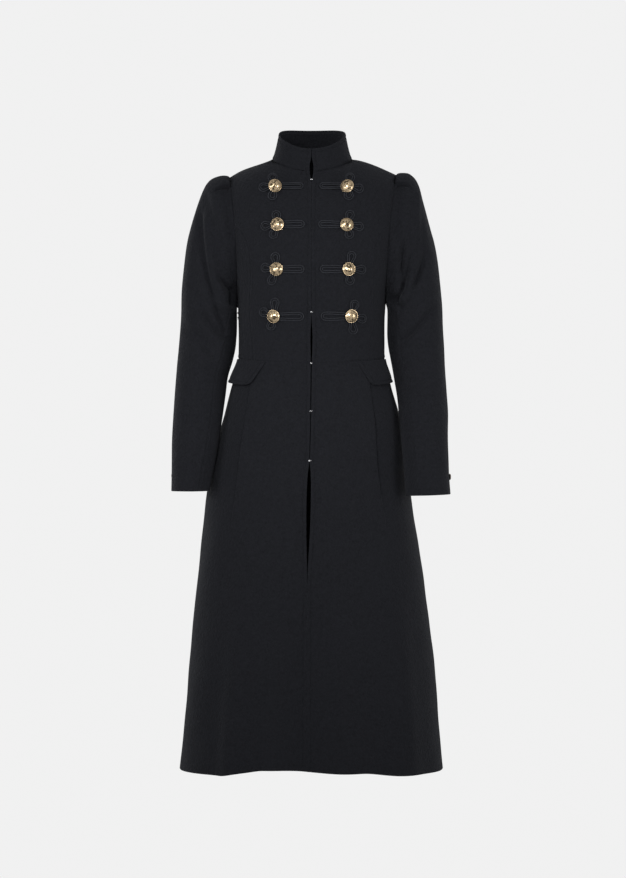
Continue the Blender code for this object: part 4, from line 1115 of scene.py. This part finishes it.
def edge_line(made, inset, low, high):
    """The grid line at an inset from the first column, between two shares of its height."""
    column = int(np.argmin(np.abs(made["left"][len(made["left"]) // 2] - inset)))
    rows = made["outer"].shape[0]
    return lifted(made, [(i, column) for i in range(int(rows * low), int(rows * high))])


def make_stitching():
    for side in SIDES:
        name = SIDE_NAME[side]
        stitched("bodice_front_" + name, edge_line(BODICE[side], STITCH_INSET, 0.02, 0.98))
        stitched("skirt_front_" + name, edge_line(SKIRT[side], STITCH_INSET, 0.02, 0.99))


# Frogs, a row each: side, button, end of the bar, its half height, then the three leaf tips
FROGS = table(
    "side x z end_x half top_x top_z out_x out_z low_x low_z",
    [
        (-1, -0.0723, -0.0502, -0.0150, 0.0078, -0.0790, -0.0240, -0.1045, -0.0545, -0.0785, -0.0800),
        (-1, -0.0662, -0.1270, -0.0126, 0.0084, -0.0700, -0.0985, -0.1005, -0.1310, -0.0780, -0.1560),
        (-1, -0.0675, -0.2153, -0.0132, 0.0086, -0.0715, -0.1810, -0.1000, -0.2100, -0.0815, -0.2460),
        (-1, -0.0731, -0.3076, -0.0142, 0.0094, -0.0705, -0.2700, -0.1025, -0.2940, -0.0820, -0.3350),
        (1, 0.0712, -0.0502, 0.0150, 0.0078, 0.0785, -0.0240, 0.1030, -0.0580, 0.0740, -0.0800),
        (1, 0.0685, -0.1274, 0.0126, 0.0084, 0.0785, -0.0985, 0.1030, -0.1325, 0.0765, -0.1565),
        (1, 0.0719, -0.2151, 0.0160, 0.0086, 0.0805, -0.1790, 0.1080, -0.2150, 0.0760, -0.2470),
        (1, 0.0771, -0.3070, 0.0176, 0.0096, 0.0870, -0.2740, 0.1090, -0.3130, 0.0830, -0.3430),
    ],
)
# The bar from the button out: distance, and share of its half height. It stops short of its round end
BAR = ((0.006, 0.75), (0.014, 0.8), (0.022, 0.86), (0.030, 0.94), (0.038, 1.0))
BAR_STOP = 0.004
# The leaves: radius of the round end, directions of its points, and the neck's place along and across
LEAF_RADIUS = 0.0070
LEAF_TURNS = (-135, -90, -45, 0, 45, 90, 135)
LEAF_NECK = (0.0085, 0.0022)
# How far the cord lies off the cloth, and how often its corners are cut to round it
CORD_SEAT = 0.0002
CORD_ROUNDS = 3
# Reach over which the cloth's direction is taken, under a cord and under a button
CORD_REACH, BUTTON_REACH = 0.003, 0.011
# The cord's upper side from edge to edge, in shares of half its width and of its height: a ridge each
# side of a groove
CORD_SECTION = (
    (-1.0, -0.10), (-0.97, 0.40), (-0.84, 0.80), (-0.58, 1.0), (-0.32, 0.80), (-0.12, 0.28), (0.0, 0.0),
    (0.12, 0.28), (0.32, 0.80), (0.58, 1.0), (0.84, 0.80), (0.97, 0.40), (1.0, -0.10),
)


def frog_line(row):
    """One closed line in x and z: the long bar out and back, then the leaves low, outer and top."""
    side, hub, width = row["side"], np.array([row["x"], row["z"]]), size("cord_width")
    half = row["half"] - width / 2
    end = row["end_x"] + side * row["half"]
    stop = end * side + BAR_STOP
    bars = [(hub[0] - side * x, half * share) for x, share in BAR if hub[0] * side - x > stop]
    line = [(x, hub[1] + rise) for x, rise in bars]
    for k in range(7):
        turn = math.pi / 2 - math.pi * k / 6
        line.append((end - side * half * math.cos(turn), hub[1] + half * math.sin(turn)))
    line += [(x, hub[1] - rise) for x, rise in reversed(bars)]
    for tip in ("low", "out", "top"):
        end = np.array([row[tip + "_x"], row[tip + "_z"]])
        along = end - hub
        length = np.linalg.norm(along) - width / 2
        along = along / np.linalg.norm(along)
        across = np.array([-along[1], along[0]]) * side
        line.append(tuple(hub + along * LEAF_NECK[0] - across * LEAF_NECK[1]))
        for degrees in LEAF_TURNS:
            turn = math.radians(degrees)
            far = length - LEAF_RADIUS + LEAF_RADIUS * math.cos(turn)
            line.append(tuple(hub + along * far + across * LEAF_RADIUS * math.sin(turn)))
        line.append(tuple(hub + along * LEAF_NECK[0] + across * LEAF_NECK[1]))
    return np.array(line)


def rounded_line(line, times):
    """A closed line with its corners cut again and again, until it is smooth."""
    for _ in range(times):
        after = np.roll(line, -1, axis=0)
        cut = np.stack([line * 0.75 + after * 0.25, line * 0.25 + after * 0.75], axis=1)
        line = cut.reshape(-1, line.shape[1])
    return line


def cloth_tree(made):
    mesh = made["object"].data
    mesh.calc_loop_triangles()
    points = [v.co.copy() for v in mesh.vertices]
    return BVHTree.FromPolygons(points, [tuple(t.vertices) for t in mesh.loop_triangles])


def on_front(tree, x, z):
    """The point of a front piece's outside at x and z."""
    place, _, _, _ = tree.ray_cast(Vector((x, -1.0, z)), Vector((0, 1, 0)))
    return np.array(place)


def front_normal(tree, x, z, reach):
    """The direction a front piece faces, from points round a place."""
    across = on_front(tree, x + reach, z) - on_front(tree, x - reach, z)
    up = on_front(tree, x, z + reach) - on_front(tree, x, z - reach)
    return unit(np.cross(across, up))


def lay_cord(name, line, tree, node):
    """A flat cord with a groove along its middle, laid on the cloth along a closed line."""
    width, height = size("cord_width"), size("cord_height")
    line = rounded_line(line, CORD_ROUNDS)
    places = np.array([on_front(tree, x, z) for x, z in line])
    normals = np.array([front_normal(tree, x, z, CORD_REACH) for x, z in line])
    ahead = unit(np.roll(places, -1, axis=0) - np.roll(places, 1, axis=0))
    ahead = unit(ahead - normals * np.sum(ahead * normals, axis=1, keepdims=True))
    across = np.cross(normals, ahead) * width / 2
    rings = []
    for wide, high in CORD_SECTION:
        rings.append(places + across * wide + normals * (CORD_SEAT + high * height))
    points = np.stack(rings, axis=1)
    count, wide = points.shape[:2]
    index = np.arange(count * wide).reshape(count, wide)
    following = np.roll(index, -1, axis=0)
    corners = [index, np.roll(index, -1, axis=1), np.roll(following, -1, axis=1), following]
    faces = np.stack(corners, axis=-1).reshape(-1, 4)
    made = add_mesh(name, points.reshape(-1, 3), faces, material_of("braid"))
    length = np.concatenate([[0], np.cumsum(np.linalg.norm(np.diff(places, axis=0), axis=1))])
    # The braid's yarns are laid out by millimetres along the cord and by the share across it
    layer = made.data.uv_layers.new(name="cord")
    loops = np.zeros(len(made.data.loops), int)
    made.data.loops.foreach_get("vertex_index", loops)
    spread = np.array([w for w, _ in CORD_SECTION])
    uv = np.stack([length[loops // wide] * 1000, spread[loops % wide]], axis=1)
    layer.data.foreach_set("uv", uv.ravel().astype(np.float32))
    carry(made, "cord", node)
    return places + normals * (CORD_SEAT + height)


# Dome button from its back to its top: radius and height, in shares of its radius
BUTTON_FORM = (
    (0.0, -0.06), (0.55, -0.06), (0.90, -0.03), (0.975, 0.01), (1.0, 0.06), (1.0, 0.10), (0.985, 0.135),
    (0.965, 0.145), (0.950, 0.135), (0.938, 0.145), (0.915, 0.19), (0.87, 0.265), (0.80, 0.345),
    (0.70, 0.425), (0.60, 0.490), (0.49, 0.55), (0.37, 0.60), (0.25, 0.635), (0.12, 0.652), (0.0, 0.656),
)
# How far the button stands off the highest cord below it
BUTTON_SEAT = 0.0006
BUTTON_SEGMENTS = 56
# The hammered face of a button ends at this share of its radius, and fades over this much
FACE_END, FACE_FADE = 0.94, 0.22


def lathe(name, form, radius, place, axis, segments, material):
    """A round piece: a form of radii and heights, in shares of its own radius, turned about its axis."""
    axis = unit(np.array(axis, float))
    across = unit(np.cross(axis, (0.0, 0.0, 1.0)))
    third = np.cross(axis, across)
    turns = np.linspace(0, 2 * math.pi, segments, endpoint=False)
    ring = np.cos(turns)[:, None] * across + np.sin(turns)[:, None] * third
    points = [place + axis * form[0][1] * radius]
    for r, h in form[1:-1]:
        points += list(place + axis * h * radius + ring * r * radius)
    points.append(place + axis * form[-1][1] * radius)
    faces, last = [], len(points) - 1
    for k in range(segments):
        n = (k + 1) % segments
        faces.append((0, 1 + k, 1 + n))
        for level in range(len(form) - 3):
            a = 1 + level * segments
            faces.append((a + k, a + k + segments, a + n + segments, a + n))
        a = 1 + (len(form) - 3) * segments
        faces.append((a + k, last, a + n))
    made = add_mesh(name, points, faces, material)
    around = np.concatenate([[0.0], np.repeat([r for r, _ in form[1:-1]], segments), [0.0]])
    dome = made.data.attributes.new("dome", "FLOAT", "POINT")
    dome.data.foreach_set("value", smooth((FACE_END - around) / FACE_FADE).astype(np.float32))
    return made


def make_frogs():
    """The cords, and the buttons that sit on them."""
    radius = size("button_radius")
    trees = {side: cloth_tree(BODICE[side]) for side in SIDES}
    for i in range(len(FROGS["side"])):
        row = {name: FROGS[name][i] for name in FROGS if not name.startswith("slope")}
        side, number = int(row["side"]), i % 4 + 1
        name = "%s_%d" % (SIDE_NAME[side], number)
        cord = lay_cord("braid_" + name, frog_line(row), trees[side], "frog_" + name)
        normal = front_normal(trees[side], row["x"], row["z"], BUTTON_REACH)
        place = on_front(trees[side], row["x"], row["z"] - normal[2] * radius * 0.45)
        up = (cord - place) @ normal
        off = np.linalg.norm(cord - place - up[:, None] * normal, axis=1)
        seat = place + normal * (up[off < radius * 0.9].max() + BUTTON_SEAT)
        finish = material_of("gilt")
        made = lathe("dome_button_" + name, BUTTON_FORM, radius, seat, normal, BUTTON_SEGMENTS, finish)
        carry(made, "gold", "button_" + name)


# Small hooks and eyes: the level of each, how far the wire stands off the cloth, and its sides round
HOOK_LEVELS = (-0.0360, -0.2990, -0.3990, -0.4930, -0.5900)
WIRE_SEAT = 0.0006
WIRE_SIDES = 8
# Half the height of a hook's loop, where it starts and how far it reaches to the other edge
HOOK_RISE, HOOK_START, HOOK_REACH = 0.00055, 0.0030, 0.0036


def wire(points, thick):
    """A round wire along a line of points, closed at both ends: its points and faces."""
    points = np.array(points)
    ahead = unit(np.gradient(points, axis=0))
    side = unit(np.cross(ahead, (0.0, 1.0, 0.02)))
    up = np.cross(side, ahead)
    made = []
    for k in range(WIRE_SIDES):
        a = k * math.pi / (WIRE_SIDES / 2)
        made.append(points + (side * math.cos(a) + up * math.sin(a)) * thick)
    made = np.stack(made, axis=1)
    index = np.arange(len(made) * WIRE_SIDES).reshape(-1, WIRE_SIDES)
    around = np.roll(index, -1, axis=1)
    faces = np.stack([index[:-1], around[:-1], around[1:], index[1:]], axis=-1).reshape(-1, 4).tolist()
    faces.append(tuple(index[0][::-1]))
    faces.append(tuple(index[-1]))
    return made.reshape(-1, 3), faces


def make_hooks():
    """Each hook with its eye: a wire loop from one edge and a doubled wire from the other."""
    radius, thick = size("eye_radius"), size("wire")
    for i, z in enumerate(HOOK_LEVELS):
        shift = float(read(FRONT_EDGE, "z", "shift", z))
        piece = BODICE[1] if z > WAIST_SIDE_Z - WAIST_DROP else SKIRT[1]
        edge = piece["outer"][:, 3]
        front = edge[int(np.argmin(np.abs(edge[:, 2] - z)))][1] - WIRE_SEAT
        eye = [
            (shift - 0.0006 + radius * math.cos(a), front - 0.0001, z + radius * math.sin(a))
            for a in np.linspace(0.12 * math.pi, 1.88 * math.pi, 21)
        ]
        hook = []
        for end, rise in ((0, HOOK_RISE), (1, -HOOK_RISE)):
            for share in np.linspace(end, 1 - end, 11):
                x = shift + HOOK_START - HOOK_REACH * share
                hook.append((x, front - 0.0006 - 0.0006 * math.sin(math.pi * share), z + rise))
        points, faces = wire(eye, thick)
        more, other = wire(hook, thick)
        faces += [tuple(k + len(points) for k in face) for face in other]
        points = np.concatenate([points, more])
        made = add_mesh("hook_and_eye_%d" % (i + 1), points, faces, material_of("nickel"))
        carry(made, "steel", "hook_%d" % (i + 1))


# Cuff buttons: the place on the sleeve in s and rings, how far off the cloth, and the form, as above
CUFF_BUTTON_S, CUFF_BUTTON_RING = 0.045, 19.3
CUFF_BUTTON_SEAT = 0.0004
CUFF_BUTTON_SEGMENTS = 40
CUFF_BUTTON_FORM = (
    (0.0, -0.05), (0.80, -0.05), (0.95, 0.03), (1.0, 0.12), (0.98, 0.22), (0.90, 0.30), (0.80, 0.32),
    (0.70, 0.29), (0.62, 0.28), (0.50, 0.34), (0.34, 0.40), (0.16, 0.43), (0.0, 0.44),
)


def make_cuff_buttons():
    radius = size("cuff_button_radius")
    for side in SIDES:
        name = SIDE_NAME[side]
        grid, normals = SLEEVES[side]["outer"], SLEEVES[side]["normals"]
        goal = sleeve(side)(np.array(CUFF_BUTTON_S), np.array(CUFF_BUTTON_RING))
        i, j = np.unravel_index(np.argmin(np.linalg.norm(grid - goal, axis=-1)), grid.shape[:2])
        out = normals[i, j]
        place = grid[i, j] + out * CUFF_BUTTON_SEAT
        finish = material_of("bronze")
        made = lathe("cuff_stud_" + name, CUFF_BUTTON_FORM, radius, place, out, CUFF_BUTTON_SEGMENTS, finish)
        carry(made, "bronze", "cuff_button_" + name)


# Shader work: sums on sockets, and one method for every other node


class Signal:
    """A shader value that can stand in a sum."""

    def __init__(self, tree, socket):
        self.tree, self.socket = tree, socket

    def step(self, operation, first, second):
        node = self.tree.nodes.new("ShaderNodeMath")
        node.operation = operation
        for socket, value in zip(node.inputs, (first, second)):
            feed(self.tree, socket, value)
        return Signal(self.tree, node.outputs[0])

    def __add__(self, other):
        return self.step("ADD", self, other)

    def __radd__(self, other):
        return self.step("ADD", other, self)

    def __mul__(self, other):
        return self.step("MULTIPLY", self, other)

    def __rmul__(self, other):
        return self.step("MULTIPLY", other, self)


def feed(tree, socket, value):
    if isinstance(value, Signal):
        tree.links.new(value.socket, socket)
    else:
        socket.default_value = value


class Finish:
    """A material in the making, round its Principled shader."""

    def __init__(self, name, **constants):
        self.material = bpy.data.materials.new(name)
        self.material.use_nodes = True
        self.tree = self.material.node_tree
        self.shader = self.tree.nodes["Principled BSDF"]
        for socket, value in constants.items():
            self.shader.inputs[socket.replace("_", " ")].default_value = value

    def node(self, kind, output=0, settings=(), **inputs):
        """A node of any kind: its settings first, then its sockets by name, or by number as i0, i1."""
        made = self.tree.nodes.new(kind)
        for name, value in dict(settings).items():
            if name == "stops":
                self.set_stops(made.color_ramp, value)
            else:
                setattr(made, name, value)
        for name, value in inputs.items():
            key = int(name[1:]) if name[0] == "i" and name[1:].isdigit() else name.replace("_", " ")
            feed(self.tree, made.inputs[key], value)
        return Signal(self.tree, made.outputs[output])

    def set_stops(self, ramp, stops):
        while len(ramp.elements) < len(stops):
            ramp.elements.new(0.5)
        for element, (place, value) in zip(ramp.elements, stops):
            element.position, element.color = place, (value, value, value, 1)

    def place(self):
        return self.node("ShaderNodeTexCoord", "Object")

    def noise(self, scale, detail=3.0, roughness=0.55, stretch=(1, 1, 1)):
        where = self.node("ShaderNodeMapping", 0, (), Vector=self.place(), Scale=stretch)
        return self.node(
            "ShaderNodeTexNoise", "Fac", (), Vector=where, Scale=scale, Detail=detail, Roughness=roughness
        )

    def maths(self, operation, value):
        return self.node("ShaderNodeMath", 0, {"operation": operation}, i0=value)

    def ramp(self, value, *stops):
        return self.node("ShaderNodeValToRGB", "Color", {"stops": stops}, Fac=value)

    def mix(self, share, first, second):
        """A colour between two, each a signal or three numbers."""
        first, second = ((*c, 1) if isinstance(c, tuple) else c for c in (first, second))
        return self.node("ShaderNodeMix", 2, {"data_type": "RGBA"}, i0=share, i6=first, i7=second)

    def attribute(self, name):
        return self.node("ShaderNodeAttribute", "Fac", {"attribute_name": name})

    def bump(self, height, strength, distance):
        return self.node("ShaderNodeBump", 0, (), Height=height, Strength=strength, Distance=distance)

    def set(self, **inputs):
        for name, value in inputs.items():
            feed(self.tree, self.shader.inputs[name.replace("_", " ")], value)
        return self.material


MATERIALS = {}


def material_of(name):
    if name not in MATERIALS:
        MATERIALS[name] = MAKERS[name](bpy.context.scene.coat_colours)
    return MATERIALS[name]


def shade(colour, share):
    return tuple(c * share for c in colour)


def wool(colours):
    """Milled wool: a short felted nap with paler fibres in it, a little worn at its edges."""
    cloth = tuple(colours.cloth)
    made = Finish(
        "milled_wool", Metallic=0.0, Sheen_Weight=0.05, Sheen_Roughness=0.5,
        Sheen_Tint=(0.78, 0.82, 0.92, 1), Specular_IOR_Level=0.10,
    )
    fibres = made.noise(950.0, 3.0, 0.65)
    tufts = made.noise(330.0, 2.0, 0.6, (1.0, 1.0, 0.75))
    mottle = made.noise(120.0, 3.0, 0.6)
    clouds = made.noise(9.0, 3.0, 0.5)
    pale = made.ramp(fibres, (0.50, 0.0), (0.74, 1.0))
    tuft = made.ramp(tufts, (0.30, 0.0), (0.70, 1.0))
    tone = made.mix(clouds, shade(cloth, 0.80), shade(cloth, 1.08))
    patchy = made.mix(made.ramp(mottle, (0.32, 0.0), (0.68, 1.0)) * 0.6, tone, shade(cloth, 1.45))
    nap = made.mix(tuft * 0.6, patchy, shade(cloth, 1.8))
    flecked = made.mix(pale * 0.35, nap, shade(cloth, 3.0))
    worn = made.mix(made.attribute("worn") * 0.22, flecked, shade(cloth, 2.2))
    felt = made.bump(fibres * 0.4 + tufts * 1.2 + mottle * 1.1, 1.0, 0.0018)
    rough = 0.86 + fibres * 0.14
    return made.set(Base_Color=worn, Roughness=rough, Normal=felt)


def thread(colours):
    made = Finish("sewing_thread", Specular_IOR_Level=0.1)
    twist = made.noise(2400.0, 1.0)
    cord = tuple(colours.cord)
    tone = made.mix(twist, shade(cord, 1.3), shade(cord, 2.4))
    return made.set(Base_Color=tone, Roughness=0.55 + twist * 0.2)


def braid(colours):
    """Soutache: fine slanting yarns that meet in the groove, with a silky sheen on them. Its colour holds a
    painted highlight along the two ridge tops and painted shade in the groove and at the outer edges.
    """
    cord = tuple(colours.cord)
    made = Finish(
        "soutache_braid", Sheen_Weight=0.02, Sheen_Roughness=0.35, Sheen_Tint=(0.8, 0.84, 0.92, 1),
        Specular_IOR_Level=0.16,
    )
    where = made.node("ShaderNodeUVMap", 0, {"uv_map": "cord"})
    parts = made.node("ShaderNodeSeparateXYZ", 0, (), Vector=where)
    across = Signal(made.tree, parts.socket.node.outputs[1])
    off = made.maths("ABSOLUTE", across)
    yarns = made.maths("SINE", (parts + off * 1.6) * 7.2) * 0.5 + 0.5
    fuzz = made.noise(1500.0, 2.0)
    # Painted highlight and painted shade: the ridge tops are painted up to 5.5 times the cord's colour, the
    # groove and outer edges down to 0.75 of it.
    painted_ridge_highlight = made.ramp(off, (0.0, 0.0), (0.30, 0.25), (0.56, 1.0), (0.80, 0.30), (0.98, 0.0))
    tone = made.mix(painted_ridge_highlight * (yarns * 0.5 + fuzz * 0.2 + 0.3), shade(cord, 0.75), shade(cord, 5.5))
    relief = made.bump(yarns, 0.5, 0.00022)
    return made.set(Base_Color=tone, Roughness=0.36 + fuzz * 0.20, Normal=relief)


def gilt(colours):
    """Polished gilt metal with a hammered face, whose hollows are painted dark as painted shade."""
    gold = tuple(colours.gold)
    made = Finish("gilt_metal", Metallic=1.0)
    dents = made.noise(230.0, 2.0, 0.5)
    fine = made.noise(900.0, 2.0)
    dome = made.attribute("dome")
    # Painted shade: the hollows of the hammered face, within the face that the dome attribute marks, are
    # painted down to 0.07 of the gold and made rougher.
    painted_shade_hollows = made.ramp(dents, (0.44, 1.0), (0.50, 0.0)) * dome
    tone = made.mix(painted_shade_hollows * 0.95, gold, shade(gold, 0.07))
    relief = made.bump((dents * 0.85 + fine * 0.15) * dome, 0.75, 0.0012)
    return made.set(Base_Color=tone, Roughness=0.15 + fine * 0.14 + painted_shade_hollows * 0.25, Normal=relief)


def nickel(colours):
    steel = tuple(colours.steel)
    made = Finish("bright_nickel", Metallic=1.0)
    scuffs = made.noise(700.0, 2.0)
    return made.set(Base_Color=made.mix(scuffs, shade(steel, 0.9), steel), Roughness=0.14 + scuffs * 0.16)


def bronze(colours):
    base = tuple(colours.bronze)
    made = Finish("dark_bronze", Metallic=0.85)
    patches = made.noise(420.0, 3.0)
    tone = made.mix(patches, shade(base, 0.6), shade(base, 2.2))
    return made.set(Base_Color=tone, Roughness=0.30 + patches * 0.2, Normal=made.bump(patches, 0.25, 0.0003))


def paper(colours):
    """A lit floor, as pale as the surround: it shines, so that no edge of it shows."""
    base = tuple(colours.ground)
    made = Finish("studio_floor", Specular_IOR_Level=0.0, Base_Color=(0, 0, 0, 1), Emission_Strength=1.0)
    grain = made.noise(60.0, 2.0)
    return made.set(Emission_Color=made.mix(grain, shade(base, 0.999), base), Roughness=0.95)


MAKERS = {
    "wool": wool,
    "thread": thread,
    "braid": braid,
    "gilt": gilt,
    "nickel": nickel,
    "bronze": bronze,
    "ground": paper,
}


# The stage: floor, pale surround, soft lights and the camera straight in front

# Level of the floor and half its width, place of the camera, height of its frame, width of its sensor
FLOOR_Z, FLOOR_REACH = -1.55, 40.0
CAMERA_X, CAMERA_Z, CAMERA_DISTANCE = 0.003, -0.548, 6.0
FRAME_HEIGHT = 1.756
SENSOR = 36.0
# Share of the surround's brightness that falls on the coat, and how far its gloss sees the full one
AMBIENT = 0.34
GLOSS_SHARE = 0.12
# How far each soft light spreads in degrees, then a row each: name, place, aim, size, power
LIGHT_SPREAD = 80.0
LIGHTS = (
    ("key", (-1.9, -1.60, -0.35), (0.0, 0.0, -0.45), 0.8, 2.4),
    ("fill", (1.9, -1.60, -0.35), (0.0, 0.0, -0.45), 0.9, 2.9),
    ("front", (-0.35, -1.9, 0.00), (0.0, 0.0, -0.38), 0.5, 2.3),
    ("top", (-0.1, -1.9, 1.7), (0.0, 0.0, -0.25), 0.9, 0.5),
    ("behind_left", (-1.9, 2.2, 0.1), (0.0, 0.0, -0.5), 1.4, 4.6),
    ("behind_right", (1.9, 2.2, -0.1), (0.0, 0.0, -0.5), 1.4, 3.8),
)


def make_floor():
    corners = [(x * FLOOR_REACH, y * FLOOR_REACH, FLOOR_Z) for x, y in ((-1, -1), (1, -1), (1, 1), (-1, 1))]
    floor = add_mesh("studio_floor", corners, [(0, 1, 2, 3)], material_of("ground"), False)
    floor.visible_diffuse = floor.visible_glossy = False


def make_surround(scene, colour):
    """A surround as bright as the colour to the camera, dimmer to the coat and less dim in its gloss."""
    world = bpy.data.worlds.new("pale_studio")
    scene.world = world
    world.use_nodes = True
    nodes, links = world.node_tree.nodes, world.node_tree.links
    seen, felt = nodes["Background"], nodes.new("ShaderNodeBackground")
    for sky, strength in ((seen, 1.0), (felt, AMBIENT)):
        sky.inputs["Color"].default_value = (*colour, 1)
        sky.inputs["Strength"].default_value = strength
    either, path = nodes.new("ShaderNodeMixShader"), nodes.new("ShaderNodeLightPath")
    shiny = nodes.new("ShaderNodeMath")
    shiny.operation = "MULTIPLY_ADD"
    shiny.inputs[1].default_value = GLOSS_SHARE
    links.new(path.outputs["Is Glossy Ray"], shiny.inputs[0])
    links.new(path.outputs["Is Camera Ray"], shiny.inputs[2])
    links.new(shiny.outputs[0], either.inputs[0])
    links.new(felt.outputs[0], either.inputs[1])
    links.new(seen.outputs[0], either.inputs[2])
    links.new(either.outputs[0], nodes["World Output"].inputs["Surface"])


def make_lights(scene):
    for name, spot, aim, wide, power in LIGHTS:
        lamp = bpy.data.lights.new(name, "AREA")
        lamp.size, lamp.energy, lamp.spread = wide, power, math.radians(LIGHT_SPREAD)
        made = bpy.data.objects.new(name, lamp)
        made.location = spot
        made.visible_camera = False
        made.rotation_euler = (Vector(aim) - Vector(spot)).to_track_quat("-Z", "Y").to_euler()
        scene.collection.objects.link(made)


def make_camera(scene):
    """A camera straight in front, whose frame is FRAME_HEIGHT metres high at the middle of the coat."""
    lens = bpy.data.cameras.new("camera")
    lens.sensor_width = SENSOR
    lens.lens = SENSOR * CAMERA_DISTANCE / FRAME_HEIGHT
    camera = bpy.data.objects.new("camera", lens)
    camera.location = (CAMERA_X, -CAMERA_DISTANCE, CAMERA_Z)
    camera.rotation_euler = (math.pi / 2, 0, 0)
    scene.collection.objects.link(camera)
    scene.camera = camera


def make_stage():
    scene = bpy.context.scene
    make_floor()
    make_surround(scene, scene.coat_colours.sky)
    make_lights(scene)
    make_camera(scene)
    scene.view_settings.view_transform = "Standard"


# The add-on's settings, operators and panel. The defaults are the coat of the photograph


def length_setting(name, text, default):
    return FloatProperty(name=name, description=text, unit="LENGTH", min=0, precision=5, default=default)


def colour_setting(name, text, default):
    return FloatVectorProperty(
        name=name, description=text, subtype="COLOR", size=3, min=0, max=1, default=default
    )


class CoatSizes(bpy.types.PropertyGroup):
    """Sizes of the cloth and the trimmings"""

    wall: length_setting("Cloth", "Thickness of the wool", 0.0025)
    collar_wall: length_setting("Collar", "Thickness of the collar", 0.003)
    flap_wall: length_setting("Flaps", "Thickness of the pocket flaps", 0.0026)
    stitch_length: length_setting("Stitch", "Length of one stitch", 0.0024)
    stitch_pitch: length_setting("Stitch pitch", "Distance from one stitch to the next", 0.0032)
    thread: length_setting("Thread", "Radius of the sewing thread", 0.00028)
    cord_width: length_setting("Cord width", "Width of the braid", 0.0068)
    cord_height: length_setting("Cord height", "Height of the ridges of the braid", 0.0025)
    button_radius: length_setting("Button", "Radius of the dome buttons", 0.0131)
    cuff_button_radius: length_setting("Cuff button", "Radius of the cuff buttons", 0.0062)
    eye_radius: length_setting("Eye", "Radius of the eyes that the hooks go into", 0.0012)
    wire: length_setting("Wire", "Radius of the wire of hooks and eyes", 0.00035)


class CoatColours(bpy.types.PropertyGroup):
    """Colours of the coat and its studio"""

    cloth: colour_setting("Cloth", "Colour of the wool", (0.0109, 0.0114, 0.0140))
    cord: colour_setting("Cord", "Colour of the braid and thread", (0.0105, 0.0112, 0.0138))
    gold: colour_setting("Buttons", "Colour of the gilt buttons", (0.86, 0.66, 0.42))
    bronze: colour_setting("Cuff buttons", "Colour of the cuff buttons", (0.10, 0.07, 0.05))
    steel: colour_setting("Hooks", "Colour of the hooks and eyes", (0.78, 0.78, 0.80))
    ground: colour_setting("Floor", "Colour of the studio floor", (0.878, 0.878, 0.878))
    sky: colour_setting("Surround", "Colour of the light all round", (0.878, 0.878, 0.878))


class COAT_OT_collar(bpy.types.Operator):
    """Build the stand collar with its stitched edge"""

    bl_idname = "coat.collar"
    bl_label = "Collar"

    def execute(self, context):
        make_collar()
        return {"FINISHED"}


class COAT_OT_bodice(bpy.types.Operator):
    """Build the bodice pieces from waist to shoulder"""

    bl_idname = "coat.bodice"
    bl_label = "Bodice"

    def execute(self, context):
        make_bodice()
        return {"FINISHED"}


class COAT_OT_skirt(bpy.types.Operator):
    """Build the skirt with its folds and flutes"""

    bl_idname = "coat.skirt"
    bl_label = "Skirt"

    def execute(self, context):
        make_skirt()
        return {"FINISHED"}


class COAT_OT_sleeves(bpy.types.Operator):
    """Build the two-piece sleeves with their tucks"""

    bl_idname = "coat.sleeves"
    bl_label = "Sleeves"

    def execute(self, context):
        make_sleeves()
        return {"FINISHED"}


class COAT_OT_flaps(bpy.types.Operator):
    """Build the slanted pocket flaps"""

    bl_idname = "coat.flaps"
    bl_label = "Pocket flaps"

    def execute(self, context):
        make_flaps()
        return {"FINISHED"}


class COAT_OT_stitching(bpy.types.Operator):
    """Sew along both front edges"""

    bl_idname = "coat.stitching"
    bl_label = "Edge stitching"

    def execute(self, context):
        make_stitching()
        return {"FINISHED"}


class COAT_OT_frogs(bpy.types.Operator):
    """Lay the cord frogs and set the dome buttons on them"""

    bl_idname = "coat.frogs"
    bl_label = "Frogs and buttons"

    def execute(self, context):
        make_frogs()
        return {"FINISHED"}


class COAT_OT_hooks(bpy.types.Operator):
    """Set the hooks and eyes across the front"""

    bl_idname = "coat.hooks"
    bl_label = "Hooks and eyes"

    def execute(self, context):
        make_hooks()
        return {"FINISHED"}


class COAT_OT_cuff_buttons(bpy.types.Operator):
    """Set the button at each cuff"""

    bl_idname = "coat.cuff_buttons"
    bl_label = "Cuff buttons"

    def execute(self, context):
        make_cuff_buttons()
        return {"FINISHED"}


class COAT_OT_stage(bpy.types.Operator):
    """Set the floor, lights and camera"""

    bl_idname = "coat.stage"
    bl_label = "Stage"

    def execute(self, context):
        make_stage()
        return {"FINISHED"}


OPERATORS = (
    COAT_OT_collar,
    COAT_OT_bodice,
    COAT_OT_skirt,
    COAT_OT_sleeves,
    COAT_OT_flaps,
    COAT_OT_stitching,
    COAT_OT_frogs,
    COAT_OT_hooks,
    COAT_OT_cuff_buttons,
    COAT_OT_stage,
)


class COAT_PT_panel(bpy.types.Panel):
    """Sizes, colours and makers of the coat"""

    bl_idname = "COAT_PT_panel"
    bl_label = "Coat"
    bl_space_type = "VIEW_3D"
    bl_region_type = "UI"
    bl_category = "Coat"

    def draw(self, context):
        scene = context.scene
        for group, kind in ((scene.coat_sizes, CoatSizes), (scene.coat_colours, CoatColours)):
            for name in kind.__annotations__:
                self.layout.prop(group, name)
        for made in OPERATORS:
            self.layout.operator(made.bl_idname)


CLASSES = (CoatSizes, CoatColours, *OPERATORS, COAT_PT_panel)


def register():
    for made in CLASSES:
        bpy.utils.register_class(made)
    bpy.types.Scene.coat_sizes = PointerProperty(type=CoatSizes)
    bpy.types.Scene.coat_colours = PointerProperty(type=CoatColours)


def unregister():
    del bpy.types.Scene.coat_colours, bpy.types.Scene.coat_sizes
    for made in reversed(CLASSES):
        bpy.utils.unregister_class(made)


def main():
    register()
    for made in OPERATORS:
        getattr(bpy.ops.coat, made.bl_idname.split(".")[1])()


if __name__ == "__main__":
    main()
